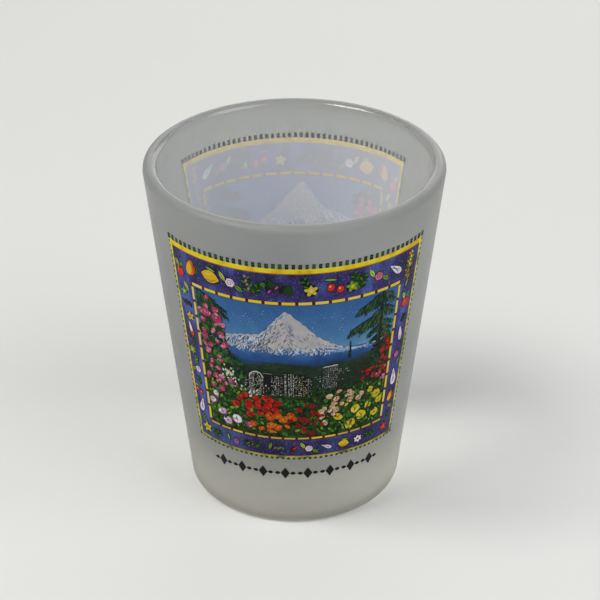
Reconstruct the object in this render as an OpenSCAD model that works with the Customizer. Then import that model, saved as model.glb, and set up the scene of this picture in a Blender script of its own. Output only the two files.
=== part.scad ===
// Souvenir shot glass: one pressed, frosted tumbler with a heavy base and a fired-on picture
// transfer on its front and on its back. Each transfer is a stack of separately printed coats.
// Origin: centre of the foot, on the surface that the glass stands on. +Z is up, and the front
// transfer faces -Y. Millimetres and degrees. An angle on the wall is measured from the middle
// of a transfer, positive to the viewer's right.

/* [Glass] */
// Height of the glass
glass_h = 60; // [58:0.5:70]
// Outer radius of the wall, carried up to the height of the rim
rim_r = 24.8; // [23:0.1:28]
// Outer radius of the wall, carried down to the foot
foot_r = 18.1; // [16.5:0.1:21]
// Radius of the fully rounded rim, half the wall's thickness there
rim_round = 1.2; // [0.8:0.1:1.6]
// Radius of the rounded edge of the foot
foot_round = 1.2; // [0.6:0.1:1.6]
// Taper of the inner wall from the vertical
bore_taper = 7.2; // [6.5:0.1:8]
// Height of the inner floor, which is the thickness of the heavy base
floor_z = 9; // [6:0.5:12]
// Radius of the corner between the inner wall and the inner floor
floor_round = 3; // [1:0.5:5]
// Radius of the shallow recess under the foot
recess_r = 13.2; // [8:0.1:14]
// Depth of the recess under the foot
recess_depth = 0.8; // [0.3:0.1:1.5]

/* [Transfer] */
// Thickness of one printed coat
coat = 0.06; // [0.05:0.01:0.1]
// Turn of both transfers about the axis
print_turn = 0.8; // [-5:0.1:5]
// Lower edge of the yellow outer rule
rule_z0 = 14.5; // [13.5:0.1:14.8]
// Upper edge of the yellow outer rule
rule_z1 = 52.65; // [52.4:0.05:53.5]
// Half angle of the outer rule at its lower edge
rule_a0 = 53.6; // [52:0.1:58]
// Half angle of the outer rule at its upper edge
rule_a1 = 56.4; // [54:0.1:60]
// Height of the top, plain edge of the picture
picture_z1 = 45.8; // [45.4:0.1:46.2]
// Height of the bottom edge of the picture
picture_z0 = 19.15; // [18.8:0.05:19.5]
// Half angle of the picture at its bottom edge
picture_a0 = 43; // [41:0.1:44]
// Half angle of the picture at its top edge
picture_a1 = 44.2; // [43:0.1:45]
// Number of teeth along the top and along the bottom of a transfer
teeth = 46; // [20:1:60]
// Number of dashes along the top and along the bottom of the inner rule
dashes = 14; // [8:1:20]
// Number of ornaments in the row below the picture
ornaments = 8; // [3:1:10]
// Height of the row of ornaments
ornament_z = 11.2; // [10.8:0.1:11.6]
// Half angle that the row of ornaments spans
ornament_a = 39; // [30:1:45]

/* [Hidden] */

// Wall of the glass
wall_taper = atan((rim_r - foot_r) / glass_h);
rim_z = glass_h - rim_round;
rim_x = wall_r(rim_z) - rim_round / cos(wall_taper);
foot_x = wall_r(foot_round) - foot_round / cos(wall_taper);
corner_z = floor_z + floor_round;
corner_x = bore_r(corner_z) - floor_round / cos(bore_taper);

// Coats of a transfer, counted outwards from the glass
GROUND = 2;
SHAPES = 3;
DETAILS = 4;
// Gap left between two shapes of one coat
seam = 0.04;
// Widest half angle and the heights that any coat stays inside
coat_a = 65;
coat_z0 = 9;
coat_z1 = 55;
// Distance from the axis that cuts through every coat
past_wall = rim_r + 5;

// Nested outlines of a transfer: lower height, upper height, and the half angle at each
rule_outline = [rule_z0, rule_z1, rule_a0, rule_a1];
band_outline = inset(rule_outline, 0.55, 0.95, 1.7);
picture_outline = [picture_z0, picture_z1, picture_a0, picture_a1];
inner_outline = inset(picture_outline, -0.7, -0.7, -1.45);

// Kinds of motif on the border
FRUIT = 0;
FLOWER = 1;
SPRIG = 2;
// Kinds of blossom in the picture
RED = 0;
PINK = 1;
WHITE = 2;
YELLOW = 3;

function wall_r(z) = foot_r + (rim_r - foot_r) * z / glass_h;
function bore_r(z) = rim_x - rim_round / cos(bore_taper) - tan(bore_taper) * (rim_z - z);
function coat_r(z, level) = wall_r(z) + level * coat;
function inset(o, low, high, side) = [o[0] + low, o[1] - high, o[2] - side, o[3] - side];
function half_angle(o, z) = o[2] + (o[3] - o[2]) * (z - o[0]) / (o[1] - o[0]);
function spread(i, count, low, high) = low + (high - low) * i / (count - 1);
function spot(a, z) = [wall_r(z) * sin(a), z];

// Skyline of the picture: a snow peak, the hills before it and the top of the garden
function peak_z(a) = 36 + 8.4 * pow(1 - min(1, abs(a + 4) / 42), 1.8) + 0.25 * sin(37 * a);
function hill_z(a) = 34.4 + 0.3 * sin(9 * a) + 0.15 * sin(21 * a);
function garden_z(a) = 28.1 + 1.5 * pow(a / picture_a1, 2) + 0.25 * sin(40 * a);

// Small shapes, flat on the wall around [0, 0]
module leaf(length, width) {
    r = (length * length + width * width) / (4 * width);
    intersection() {
        translate([r - width / 2, 0]) circle(r = r, $fn = 64);
        translate([width / 2 - r, 0]) circle(r = r, $fn = 64);
    }
}
module rosette(r) {
    for (i = [0:4]) {
        rotate(72 * i) translate([0, 0.55 * r]) circle(r = 0.48 * r, $fn = 24);
    }
}
module lozenge(width, height) {
    polygon([[-width / 2, 0], [0, -height / 2], [width / 2, 0], [0, height / 2]]);
}

// Everything of one coat that can be printed on the wall, as a thin conical shell
module shell(level) {
    sector(-coat_a, coat_a, coat_z0, coat_z1, level);
}
module sector(a0, a1, z0, z1, level) {
    rotate([0, 0, a0 - 90]) rotate_extrude(angle = a1 - a0, $fn = 96) polygon([
        [coat_r(z0, level - 1), z0],
        [coat_r(z0, level), z0],
        [coat_r(z1, level), z1],
        [coat_r(z1, level - 1), z1]
    ]);
}
// Cuts flat shapes, drawn in the plane of width and height, out towards -Y
module stencil() {
    rotate([90, 0, 0]) linear_extrude(past_wall) children();
}
module printed(level) {
    intersection() {
        shell(level);
        stencil() children();
    }
}
// Lays one small flat shape on the wall at an angle and a height, one coat thick
module stamp(a, z, level) {
    rotate([0, 0, a]) translate([0, -coat_r(z, level - 1), z]) rotate([90 + wall_taper, 0, 0])
        linear_extrude(coat) children();
}

// Flat outlines in the stencil's plane
module panel(o) {
    polygon([spot(-o[2], o[0]), spot(o[2], o[0]), spot(o[3], o[1]), spot(-o[3], o[1])]);
}
module border(outer, inner) {
    difference() {
        panel(outer);
        panel(inner);
    }
}
module in_picture() {
    intersection() {
        panel(picture_outline);
        children();
    }
}
// Outline of a conifer at an angle: its lowest and highest point, half its width and its tiers
function tree(a, z0, z1, half, tiers) = concat(
    [for (t = [0:tiers - 1], k = [0, 1]) tree_point(a, z0, z1, -half, tiers, t, k)],
    [spot(a, z1)],
    [for (t = [tiers - 1:-1:0], k = [1, 0]) tree_point(a, z0, z1, half, tiers, t, k)]
);
function tree_point(a, z0, z1, half, tiers, t, k) = spot(
    a + half * (1 - t / tiers) * (k == 0 ? 1 : 0.5),
    z0 + (z1 - z0) * (t + 0.75 * k) / tiers
);

/* Glass */
module glass_body() {
    color("gainsboro", 0.7) rotate_extrude($fn = 128) difference() {
        union() {
            polygon([
                [0, recess_depth],
                [recess_r - recess_depth, recess_depth],
                [recess_r, 0],
                [foot_x, 0],
                [foot_x + foot_round * cos(wall_taper), foot_round * (1 - sin(wall_taper))],
                [rim_x + rim_round * cos(wall_taper), rim_z - rim_round * sin(wall_taper)],
                [rim_x, rim_z],
                [rim_x - rim_round * cos(bore_taper), rim_z + rim_round * sin(bore_taper)],
                [corner_x + floor_round * cos(bore_taper), corner_z - floor_round * sin(bore_taper)],
                [corner_x, corner_z],
                [corner_x, floor_z],
                [0, floor_z]
            ]);
            translate([foot_x, foot_round]) circle(r = foot_round);
            translate([rim_x, rim_z]) circle(r = rim_round);
        }
        translate([corner_x, corner_z]) circle(r = floor_round);
    }
}

/* Coats that frame the picture */
module white_underlay() {
    color("whitesmoke") printed(1) panel(rule_outline);
}
module outer_rule() {
    color("gold") printed(GROUND)
        border(rule_outline, inset(band_outline, -seam, -seam, -seam));
}
module edge_teeth() {
    tooth = [0.5, 0.8];
    low_tooth = [0.4, 0.55];
    side_tooth = [0.45, 0.5];
    side_teeth = 32;
    side_gap = 0.85;
    end_margin = 0.6;
    top_z = rule_z1 + seam + tooth[1] / 2;
    low_z = rule_z0 - seam - low_tooth[1] / 2;
    color("darkgreen") {
        for (i = [0:teeth - 1]) {
            stamp(spread(i, teeth, -rule_a1, rule_a1), top_z, 1) square(tooth, center = true);
            stamp(spread(i, teeth, -rule_a0, rule_a0), low_z, 1) square(low_tooth, center = true);
        }
        for (i = [0:side_teeth - 1], side = [-1, 1]) {
            z = spread(i, side_teeth, rule_z0 + end_margin, rule_z1 - end_margin);
            a = side * (half_angle(rule_outline, z) + side_gap);
            stamp(a, z, 1) square(side_tooth, center = true);
        }
    }
}
module border_ground() {
    color("slateblue") printed(GROUND) border(band_outline, inner_outline);
}
module inner_rule() {
    color("maroon") printed(GROUND)
        border(inset(inner_outline, seam, seam, seam), inset(picture_outline, -seam, -seam, -seam));
}
module inner_dashes() {
    dash_share = 0.78;
    rise = 0.55;
    off = 0.08;
    corner_a = 2;
    side_dashes = 9;
    side_rise = 2.3;
    side_width = 1.1;
    side_off = 0.75;
    corner_z = 1.2;
    half_top = dash_share * picture_a1 / dashes;
    half_low = dash_share * picture_a0 / dashes;
    top_z = picture_z1 + off;
    low_z = picture_z0 - off;
    color("khaki") {
        for (i = [0:dashes - 1]) {
            top_a = spread(i, dashes, -picture_a1 + corner_a, picture_a1 - corner_a);
            sector(top_a - half_top, top_a + half_top, top_z, top_z + rise, SHAPES);
            low_a = spread(i, dashes, -picture_a0 + corner_a, picture_a0 - corner_a);
            sector(low_a - half_low, low_a + half_low, low_z - rise, low_z, SHAPES);
        }
        for (i = [0:side_dashes - 1], side = [-1, 1]) {
            z = spread(i, side_dashes, picture_z0 + corner_z, picture_z1 - corner_z);
            a = side * (half_angle(picture_outline, z) + side_off);
            sector(a - side_width / 2, a + side_width / 2, z - side_rise / 2, z + side_rise / 2, SHAPES);
        }
    }
}

/* Fruit, leaves and flowers on the border: angle, height and size of each motif */
top_count = 12;
low_count = 10;
side_count = 7;
top_middle = (band_outline[1] + inner_outline[1]) / 2;
low_middle = (band_outline[0] + inner_outline[0]) / 2;
function side_middle(z) = (half_angle(inner_outline, z) + half_angle(band_outline, z)) / 2;
top_motifs = [for (i = [0:top_count - 1]) [spread(i, top_count, -49.5, 49.5), top_middle, 1]];
low_motifs = [for (i = [0:low_count - 1]) [spread(i, low_count, -46, 46), low_middle, 0.62]];
side_motifs = [
    for (i = [0:side_count - 1], side = [-1, 1])
        let (z = spread(i, side_count, 22, 43)) [side * side_middle(z), z, 0.9]
];
motifs = concat(top_motifs, low_motifs, side_motifs);
motif_r = 1.2;
function kind(i) = i % 3;

module border_fruit() {
    color("tomato") for (i = [0:len(motifs) - 1]) {
        size = motifs[i][2];
        if (kind(i) == FRUIT) {
            stamp(motifs[i][0], motifs[i][1], SHAPES)
                translate([0, -0.5 * size]) circle(r = motif_r * size, $fn = 32);
        }
    }
}
module border_flowers() {
    color("mistyrose") for (i = [0:len(motifs) - 1]) {
        size = motifs[i][2];
        if (kind(i) == FLOWER) stamp(motifs[i][0], motifs[i][1], SHAPES) rosette(motif_r * size);
    }
}
module border_leaves() {
    color("limegreen") for (i = [0:len(motifs) - 1]) {
        stamp(motifs[i][0], motifs[i][1], SHAPES) motif_leaves(kind(i), motifs[i][2]);
    }
}
module motif_leaves(what, size) {
    for (side = [-1, 1]) {
        if (what == FRUIT) {
            translate([side * 0.75, 1.35] * size) rotate(-side * 55) leaf(1.6 * size, 0.7 * size);
        }
        if (what == FLOWER) {
            translate([side * 1.75, -0.9] * size) rotate(-side * 60) leaf(1.4 * size, 0.6 * size);
        }
        if (what == SPRIG) for (step = [-1:1]) {
            translate([side * 0.7, step * 0.85] * size)
                rotate(-side * 50) leaf(1.5 * size, 0.55 * size);
        }
    }
}

/* Coats of the picture */
module skyline(low, high) {
    polygon([for (p = concat(low, high)) spot(p[0], p[1])]);
}
land_a = 50;
angles = [-land_a:2:land_a];
function reversed(list) = [for (i = [len(list) - 1:-1:0]) list[i]];
function raised(line, by) = [for (p = line) [p[0], p[1] + by]];
peak_line = [for (a = angles) [a, peak_z(a)]];
hill_line = [for (a = angles) [a, hill_z(a)]];
garden_line = [for (a = angles) [a, garden_z(a)]];
ground_line = [[-land_a, coat_z0], [land_a, coat_z0]];

module conifer_shapes() {
    polygon(tree(37, 36.8, 45.6, 6.2, 6));
    polygon(tree(24, 34.9, 38.2, 1.7, 4));
    polygon(tree(-37, 42.2, 45.6, 4.2, 3));
}
module shrub_shapes() {
    for (i = [0:4]) {
        translate(spot(-42 + 1.1 * i, 40.2 - 2.2 * i)) circle(r = 1.6 + 0.35 * i, $fn = 32);
        translate(spot(42 - 1.4 * i, 34.2 - 0.8 * i)) circle(r = 1.7 + 0.25 * i, $fn = 32);
    }
}
module sky() {
    color("lightskyblue") printed(GROUND) panel(picture_outline);
}
module mountain() {
    color("aliceblue") printed(SHAPES) difference() {
        in_picture() skyline(raised(hill_line, seam), reversed(peak_line));
        standing_shapes();
    }
}
module hills() {
    color("darkseagreen") printed(SHAPES) difference() {
        in_picture() skyline(raised(garden_line, seam), reversed(hill_line));
        standing_shapes();
    }
}
module garden() {
    color("darkgreen") printed(SHAPES) difference() {
        in_picture() skyline(ground_line, reversed(garden_line));
        standing_shapes();
    }
}
// Trees and shrubs stand in gaps of the land behind them
module standing_shapes() {
    conifer_shapes();
    shrub_shapes();
}
module conifers() {
    color("darkslategray") printed(SHAPES) in_picture() conifer_shapes();
}
module shrubs() {
    color("seagreen") printed(SHAPES) in_picture() difference() {
        shrub_shapes();
        conifer_shapes();
    }
}
module town() {
    blocks = 16;
    block_a = 2.2;
    foot_z = 28.9;
    heights = rands(1.4, 4.6, blocks, 7);
    color("lightgray") for (i = [0:blocks - 1]) {
        a = spread(i, blocks, -20, 18);
        sector(a - block_a / 2, a + block_a / 2, foot_z, foot_z + heights[i], DETAILS);
    }
}

/* Blossoms: staggered rows of round flower heads, one coat for each colour */
row_pitch = 1.8;
column_pitch = 4.8;
blossom_r = 0.74;
function bed(a, z, columns, rows) = [
    for (j = [0:rows - 1], i = [0:columns - 1])
        [a + column_pitch * (i + 0.5 * (j % 2)), z + row_pitch * j]
];
flower_heads = concat(
    bed(-39.5, 20.4, 17, 4),
    bed(-41.5, 29.6, 2, 6),
    bed(34.5, 30.4, 2, 3)
);
edge_a = 2.2;
beds = [for (p = flower_heads) if (abs(p[0]) < half_angle(picture_outline, p[1]) - edge_a) p];
function bloom(a, z) =
    z > 29 ? (a > 0 && a < 38 ? RED : PINK) :
    a < -26 ? PINK :
    a < -8 ? (z > 25 ? WHITE : RED) :
    a < 2 ? (z < 23 ? YELLOW : RED) :
    a < 14 ? RED :
    a < 32 && z > 22 ? WHITE : YELLOW;

module blossoms(colour) {
    for (p = beds) {
        if (bloom(p[0], p[1]) == colour) stamp(p[0], p[1], DETAILS) circle(r = blossom_r, $fn = 24);
    }
}
module red_blossoms() {
    color("firebrick") blossoms(RED);
}
module pink_blossoms() {
    color("orchid") blossoms(PINK);
}
module white_blossoms() {
    color("linen") blossoms(WHITE);
}
module yellow_blossoms() {
    color("gold") blossoms(YELLOW);
}

/* Row of ornaments below the picture, straight on the glass */
module caption_ornaments() {
    side_x = 1.15;
    color([0.12, 0.13, 0.1]) for (i = [0:ornaments - 1]) {
        stamp(spread(i, ornaments, -ornament_a, ornament_a), ornament_z, 1) {
            lozenge(1.5, 2.2);
            for (side = [-1, 1]) {
                translate([side * side_x, 0]) rotate(90) leaf(0.85, 0.55);
            }
        }
    }
}

module front() {
    rotate([0, 0, print_turn]) children();
}
module back() {
    rotate([0, 0, 180 + print_turn]) children();
}

glass_body();
front() white_underlay();  // front_white_underlay
front() outer_rule();  // front_outer_rule
front() edge_teeth();  // front_edge_teeth
front() border_ground();  // front_border_ground
front() border_fruit();  // front_border_fruit
front() border_leaves();  // front_border_leaves
front() border_flowers();  // front_border_flowers
front() inner_rule();  // front_inner_rule
front() inner_dashes();  // front_inner_dashes
front() sky();  // front_sky
front() mountain();  // front_mountain
front() hills();  // front_hills
front() town();  // front_town
front() garden();  // front_garden
front() conifers();  // front_conifers
front() shrubs();  // front_shrubs
front() red_blossoms();  // front_red_blossoms
front() pink_blossoms();  // front_pink_blossoms
front() white_blossoms();  // front_white_blossoms
front() yellow_blossoms();  // front_yellow_blossoms
front() caption_ornaments();  // front_caption_ornaments
back() white_underlay();  // back_white_underlay
back() outer_rule();  // back_outer_rule
back() edge_teeth();  // back_edge_teeth
back() border_ground();  // back_border_ground
back() border_fruit();  // back_border_fruit
back() border_leaves();  // back_border_leaves
back() border_flowers();  // back_border_flowers
back() inner_rule();  // back_inner_rule
back() inner_dashes();  // back_inner_dashes
back() sky();  // back_sky
back() mountain();  // back_mountain
back() hills();  // back_hills
back() town();  // back_town
back() garden();  // back_garden
back() conifers();  // back_conifers
back() shrubs();  // back_shrubs
back() red_blossoms();  // back_red_blossoms
back() pink_blossoms();  // back_pink_blossoms
back() white_blossoms();  // back_white_blossoms
back() yellow_blossoms();  // back_yellow_blossoms
back() caption_ornaments();  // back_caption_ornaments
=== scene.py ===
"""A souvenir shot glass: a frosted tumbler with a picture fired onto its front and its back.

Each printed coat is a piece of its own, a set of thin closed shapes that lie on the conical wall.
Places on the wall are an angle in degrees from the middle of a transfer, positive to the viewer's
right, and a height in millimetres. Small shapes are drawn in millimetres around such a place.
"""

import math
import random

import bpy
from mathutils import Matrix, Vector


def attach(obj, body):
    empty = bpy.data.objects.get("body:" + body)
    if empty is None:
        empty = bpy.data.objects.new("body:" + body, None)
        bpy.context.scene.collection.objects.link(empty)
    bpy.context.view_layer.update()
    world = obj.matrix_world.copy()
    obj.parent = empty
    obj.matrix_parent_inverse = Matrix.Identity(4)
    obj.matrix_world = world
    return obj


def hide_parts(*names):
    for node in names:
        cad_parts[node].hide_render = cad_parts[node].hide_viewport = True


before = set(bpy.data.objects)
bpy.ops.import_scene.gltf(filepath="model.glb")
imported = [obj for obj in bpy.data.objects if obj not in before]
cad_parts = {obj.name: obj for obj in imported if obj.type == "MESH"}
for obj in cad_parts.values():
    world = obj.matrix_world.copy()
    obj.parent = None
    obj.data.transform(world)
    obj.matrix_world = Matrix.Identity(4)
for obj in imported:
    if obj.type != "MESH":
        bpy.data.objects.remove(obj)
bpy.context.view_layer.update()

MM = 0.001

# The glass as in the CAD model: millimetres, its tapers in radians and its transfers' turn about
# the upright axis in degrees
GLASS_H = 60.0
RIM_R = 24.8
FOOT_R = 18.1
RIM_ROUND = 1.2
FOOT_ROUND = 1.2
FLOOR_Z = 9.0
FLOOR_ROUND = 3.0
RECESS_R = 13.2
RECESS_DEPTH = 0.8
WALL_TAPER = math.atan((RIM_R - FOOT_R) / GLASS_H)
BORE_TAPER = math.radians(7.2)
PRINT_TURN = 0.8

# Nested outlines of a transfer: lower height, upper height, half angle at each
RULE = (14.5, 52.65, 53.6, 56.4)
BAND = (15.05, 51.7, 51.9, 54.7)
INNER = (18.45, 46.5, 44.45, 45.65)
PICTURE = (19.15, 45.8, 43.0, 44.2)

# How far the printed coats stand above the wall, in millimetres, and the step between the
# layers of one coat. Each reaches into the glass by the share SINK of its lift, apart from
# the teeth and the ornaments: they lie on the etched face, and their undersides stand FACE
# clear of it.
ON_GLASS = 0.05
GROUND = 0.085
SHAPES = 0.125
DETAILS = 0.18
LAYER = 0.012
SINK = 0.25
FACE = 0.003

# The white underlay: the lifts of its two sides, its colour and its opacity, and how far the
# undersides of the other inks, and of the yellow ones, are paled by it
UNDERLAY = (-0.075, -0.085)
UNDERLAY_COLOR = (246, 247, 254)
UNDERLAY_COVER = 0.08
PALED = 0.62
PALED_YELLOW = 0.42
YELLOWS = ("rule", "yellow", "pale_yellow", "old_yellow")
PALE = "under_"


def wall_r(z):
    return FOOT_R + (RIM_R - FOOT_R) * z / GLASS_H


def half_angle(outline, z):
    low, high, at_low, at_high = outline
    return at_low + (at_high - at_low) * (z - low) / (high - low)


# ---------------------------------------------------------------- camera, light and floor
CAMERA_DISTANCE = 317.8
CAMERA_ELEVATION = math.radians(30.71)
CAMERA_TARGET = (0.9, 0, 33.3)
LENS = 111.9
SENSOR = 36

# Lamps: place and size in metres, power in watts, colour. They aim at LAMP_TARGET.
LAMPS = {
    "key_light": ((-0.42, -0.16, 0.78), (0.4, 0.34), 4.9, (1, 0.99, 0.97)),
    "fill_light": ((0.48, -0.27, 0.6), (0.5, 0.5), 2.5, (0.95, 0.97, 1)),
    "back_light": ((0.16, 0.5, 0.16), (0.6, 0.25), 0.7, (1, 0.96, 0.88)),
}
LAMP_TARGET = Vector((0, 0, 0.03))
WORLD_COLOR = (0.86, 0.88, 0.9, 1)
WORLD_STRENGTH = 0.3
FLOOR_SIZE = 3.0
FLOOR_COLOR = (0.74, 0.74, 0.72)


def add_object(name, data):
    thing = bpy.data.objects.new(name, data)
    bpy.context.scene.collection.objects.link(thing)
    return thing


def aim(thing, place, target):
    thing.location = place
    thing.rotation_euler = (target - thing.location).to_track_quat("-Z", "Y").to_euler()


def add_camera():
    data = bpy.data.cameras.new("camera")
    data.lens = LENS
    data.sensor_width = SENSOR
    camera = add_object("camera", data)
    out, up = math.cos(CAMERA_ELEVATION), math.sin(CAMERA_ELEVATION)
    place = Vector((0, -out * CAMERA_DISTANCE, GLASS_H / 2 + up * CAMERA_DISTANCE)) * MM
    aim(camera, place, Vector(CAMERA_TARGET) * MM)
    bpy.context.scene.camera = camera


def add_lights():
    bpy.context.scene.view_settings.view_transform = "Standard"
    world = bpy.data.worlds.new("world")
    world.use_nodes = True
    background = world.node_tree.nodes["Background"]
    background.inputs["Color"].default_value = WORLD_COLOR
    background.inputs["Strength"].default_value = WORLD_STRENGTH
    bpy.context.scene.world = world
    for name, (place, size, power, color) in LAMPS.items():
        data = bpy.data.lights.new(name, "AREA")
        data.shape = "RECTANGLE"
        data.size, data.size_y = size
        data.energy = power
        data.color = color
        aim(add_object(name, data), place, LAMP_TARGET)


def add_floor():
    size = FLOOR_SIZE
    mesh = bpy.data.meshes.new("floor")
    corners = [(-size, -size, 0), (size, -size, 0), (size, size, 0), (-size, size, 0)]
    mesh.from_pydata(corners, [], [(0, 1, 2, 3)])
    paint = Paint("floor")
    paint.constant("Base Color", (*FLOOR_COLOR, 1))
    paint.constant("Roughness", 0.7)
    mesh.materials.append(paint.material)
    add_object("floor", mesh)


# ---------------------------------------------------------------- materials
def linear(rgb):
    """An 8-bit sRGB colour as linear numbers."""
    return tuple((c / 255 / 12.92) if c <= 10 else ((c / 255 + 0.055) / 1.055) ** 2.4 for c in rgb)


class Paint:
    """A new material, and the kinds of nodes that its colour, gloss and grain are made of."""

    def __init__(self, name):
        self.material = bpy.data.materials.new(name)
        self.material.use_nodes = True
        self.nodes = self.material.node_tree.nodes
        self.link = self.material.node_tree.links.new
        self.shader = self.nodes["Principled BSDF"]

    def constant(self, socket, value):
        self.shader.inputs[socket].default_value = value

    def feed(self, socket, value):
        self.link(value, self.shader.inputs[socket])

    def noise(self, scale, detail=3.0, stretch=(1, 1, 1)):
        """A noise texture over object coordinates, in features a metre."""
        coords = self.nodes.new("ShaderNodeTexCoord")
        mapping = self.nodes.new("ShaderNodeMapping")
        mapping.inputs["Scale"].default_value = stretch
        noise = self.nodes.new("ShaderNodeTexNoise")
        noise.inputs["Scale"].default_value = scale
        noise.inputs["Detail"].default_value = detail
        self.link(coords.outputs["Object"], mapping.inputs["Vector"])
        self.link(mapping.outputs["Vector"], noise.inputs["Vector"])
        return noise.outputs["Fac"]

    def remap(self, value, old_range, new_range):
        node = self.nodes.new("ShaderNodeMapRange")
        node.inputs["From Min"].default_value, node.inputs["From Max"].default_value = old_range
        node.inputs["To Min"].default_value, node.inputs["To Max"].default_value = new_range
        self.link(value, node.inputs["Value"])
        return node.outputs["Result"]

    def uneven(self, noise, low, high):
        """A noise, which mostly lies in 0.3..0.7, spread from low to high."""
        return self.remap(noise, (0.3, 0.7), (low, high))

    def grain(self, scale, depth):
        """Fine bumps over the surface, so many a metre."""
        bump = self.nodes.new("ShaderNodeBump")
        bump.inputs["Distance"].default_value = depth
        bump.inputs["Strength"].default_value = 1.0
        self.link(self.noise(scale, 2), bump.inputs["Height"])
        self.feed("Normal", bump.outputs["Normal"])

    def combine(self, operation, first, second, clamp=False):
        node = self.nodes.new("ShaderNodeMath")
        node.operation = operation
        node.use_clamp = clamp
        for value, socket in ((first, node.inputs[0]), (second, node.inputs[1])):
            if isinstance(value, float):
                socket.default_value = value
            else:
                self.link(value, socket)
        return node.outputs["Value"]

    def height(self, low, high, uneven=0.0):
        """From 0 at the low height to 1 at the high one, both in millimetres, pushed by noise."""
        coords = self.nodes.new("ShaderNodeTexCoord")
        split = self.nodes.new("ShaderNodeSeparateXYZ")
        self.link(coords.outputs["Object"], split.inputs["Vector"])
        share = self.remap(split.outputs["Z"], (low * MM, high * MM), (0, 1))
        push = self.uneven(self.noise(420, 4), -uneven, uneven)
        return self.combine("ADD", share, push)

    def ramp(self, value, *stops):
        """Colours along a value: each stop is a place from 0 to 1 and an 8-bit colour."""
        node = self.nodes.new("ShaderNodeValToRGB")
        elements = node.color_ramp.elements
        while len(elements) < len(stops):
            elements.new(0.5)
        for element, (place, rgb) in zip(elements, stops):
            element.position = place
            element.color = (*linear(rgb), 1)
        self.link(value, node.inputs["Fac"])
        return node.outputs["Color"]

    def blend(self, share, first, second):
        """The first colour where the share is 0, the second where it is 1."""
        mix = self.nodes.new("ShaderNodeMix")
        mix.data_type = "RGBA"
        colors = [socket for socket in mix.inputs if socket.type == "RGBA"]
        if isinstance(share, float):
            mix.inputs["Factor"].default_value = share
        else:
            self.link(share, mix.inputs["Factor"])
        self.link(first, colors[0])
        self.link(second, colors[1])
        return next(socket for socket in mix.outputs if socket.type == "RGBA")


def glass_material(name, color, transmission, rough, grain, passes):
    """Pressed glass of a colour and a look, as the section on the glass lists them."""
    paint = Paint(name)
    paint.constant("Base Color", (*color, 1))
    paint.constant("Transmission Weight", transmission)
    paint.constant("IOR", 1.5)
    paint.feed("Roughness", paint.uneven(paint.noise(130, 4), *rough))
    paint.grain(4200, grain)
    clear = paint.nodes.new("ShaderNodeBsdfTransparent")
    clear.inputs["Color"].default_value = (passes, passes, passes, 1)
    to_lamp = paint.nodes.new("ShaderNodeLightPath")
    mix = paint.nodes.new("ShaderNodeMixShader")
    paint.link(to_lamp.outputs["Is Shadow Ray"], mix.inputs["Fac"])
    paint.link(paint.shader.outputs["BSDF"], mix.inputs[1])
    paint.link(clear.outputs["BSDF"], mix.inputs[2])
    paint.link(mix.outputs["Shader"], paint.nodes["Material Output"].inputs["Surface"])
    return paint.material


# ---------------------------------------------------------------- the glass
# Finishes of the surface. Below FOOT_TOP the etched glass is painted lighter and warmer in small
# even steps,
# down to FOOT_LIGHT: a painted glow for the light that the heavy base scatters. So the finishes
# after FROSTED are its steps.
RIM, POLISHED, FROSTED = range(3)
FOOT_STEPS = 15
FOOT_TOP = 14.0
FOOT_LIGHT = 2.0
# The etched wall's colour, and the lightest, warmest step of the painted glow at the foot
ETCHED_COLOR = (0.39, 0.4, 0.392)
FOOT_GLOW_COLOR = (0.67, 0.65, 0.565)

# Each finish's transmission, range of roughness, depth of its grain in metres, and the share of
# the lamps' light that gets straight through
RIM_LOOK = (0.6, (0.32, 0.42), 1e-6, 0.5)
POLISHED_LOOK = (1.0, (0.01, 0.03), 0, 0.97)
ETCHED_LOOK = (0.6, (0.48, 0.6), 4e-6, 0.4)
RIM_COLOR = (0.47, 0.48, 0.475)
POLISHED_COLOR = (0.98, 0.99, 0.98)

SEGMENTS = 576

# How many points of the rim's arc, from its ends, are etched outside and polished inside
RIM_ETCHED = 11
RIM_POLISHED = 9


def arc(center, radius, start, end, steps):
    """Points of an arc in the profile's plane, from start to end in radians."""
    x, z = center
    angles = [start + (end - start) * i / steps for i in range(steps + 1)]
    return [(x + radius * math.cos(t), z + radius * math.sin(t)) for t in angles]


def straight(start, end, steps):
    """Points after start, up to and with end."""
    return [
        (start[0] + (end[0] - start[0]) * i / steps, start[1] + (end[1] - start[1]) * i / steps)
        for i in range(1, steps + 1)
    ]


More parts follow.
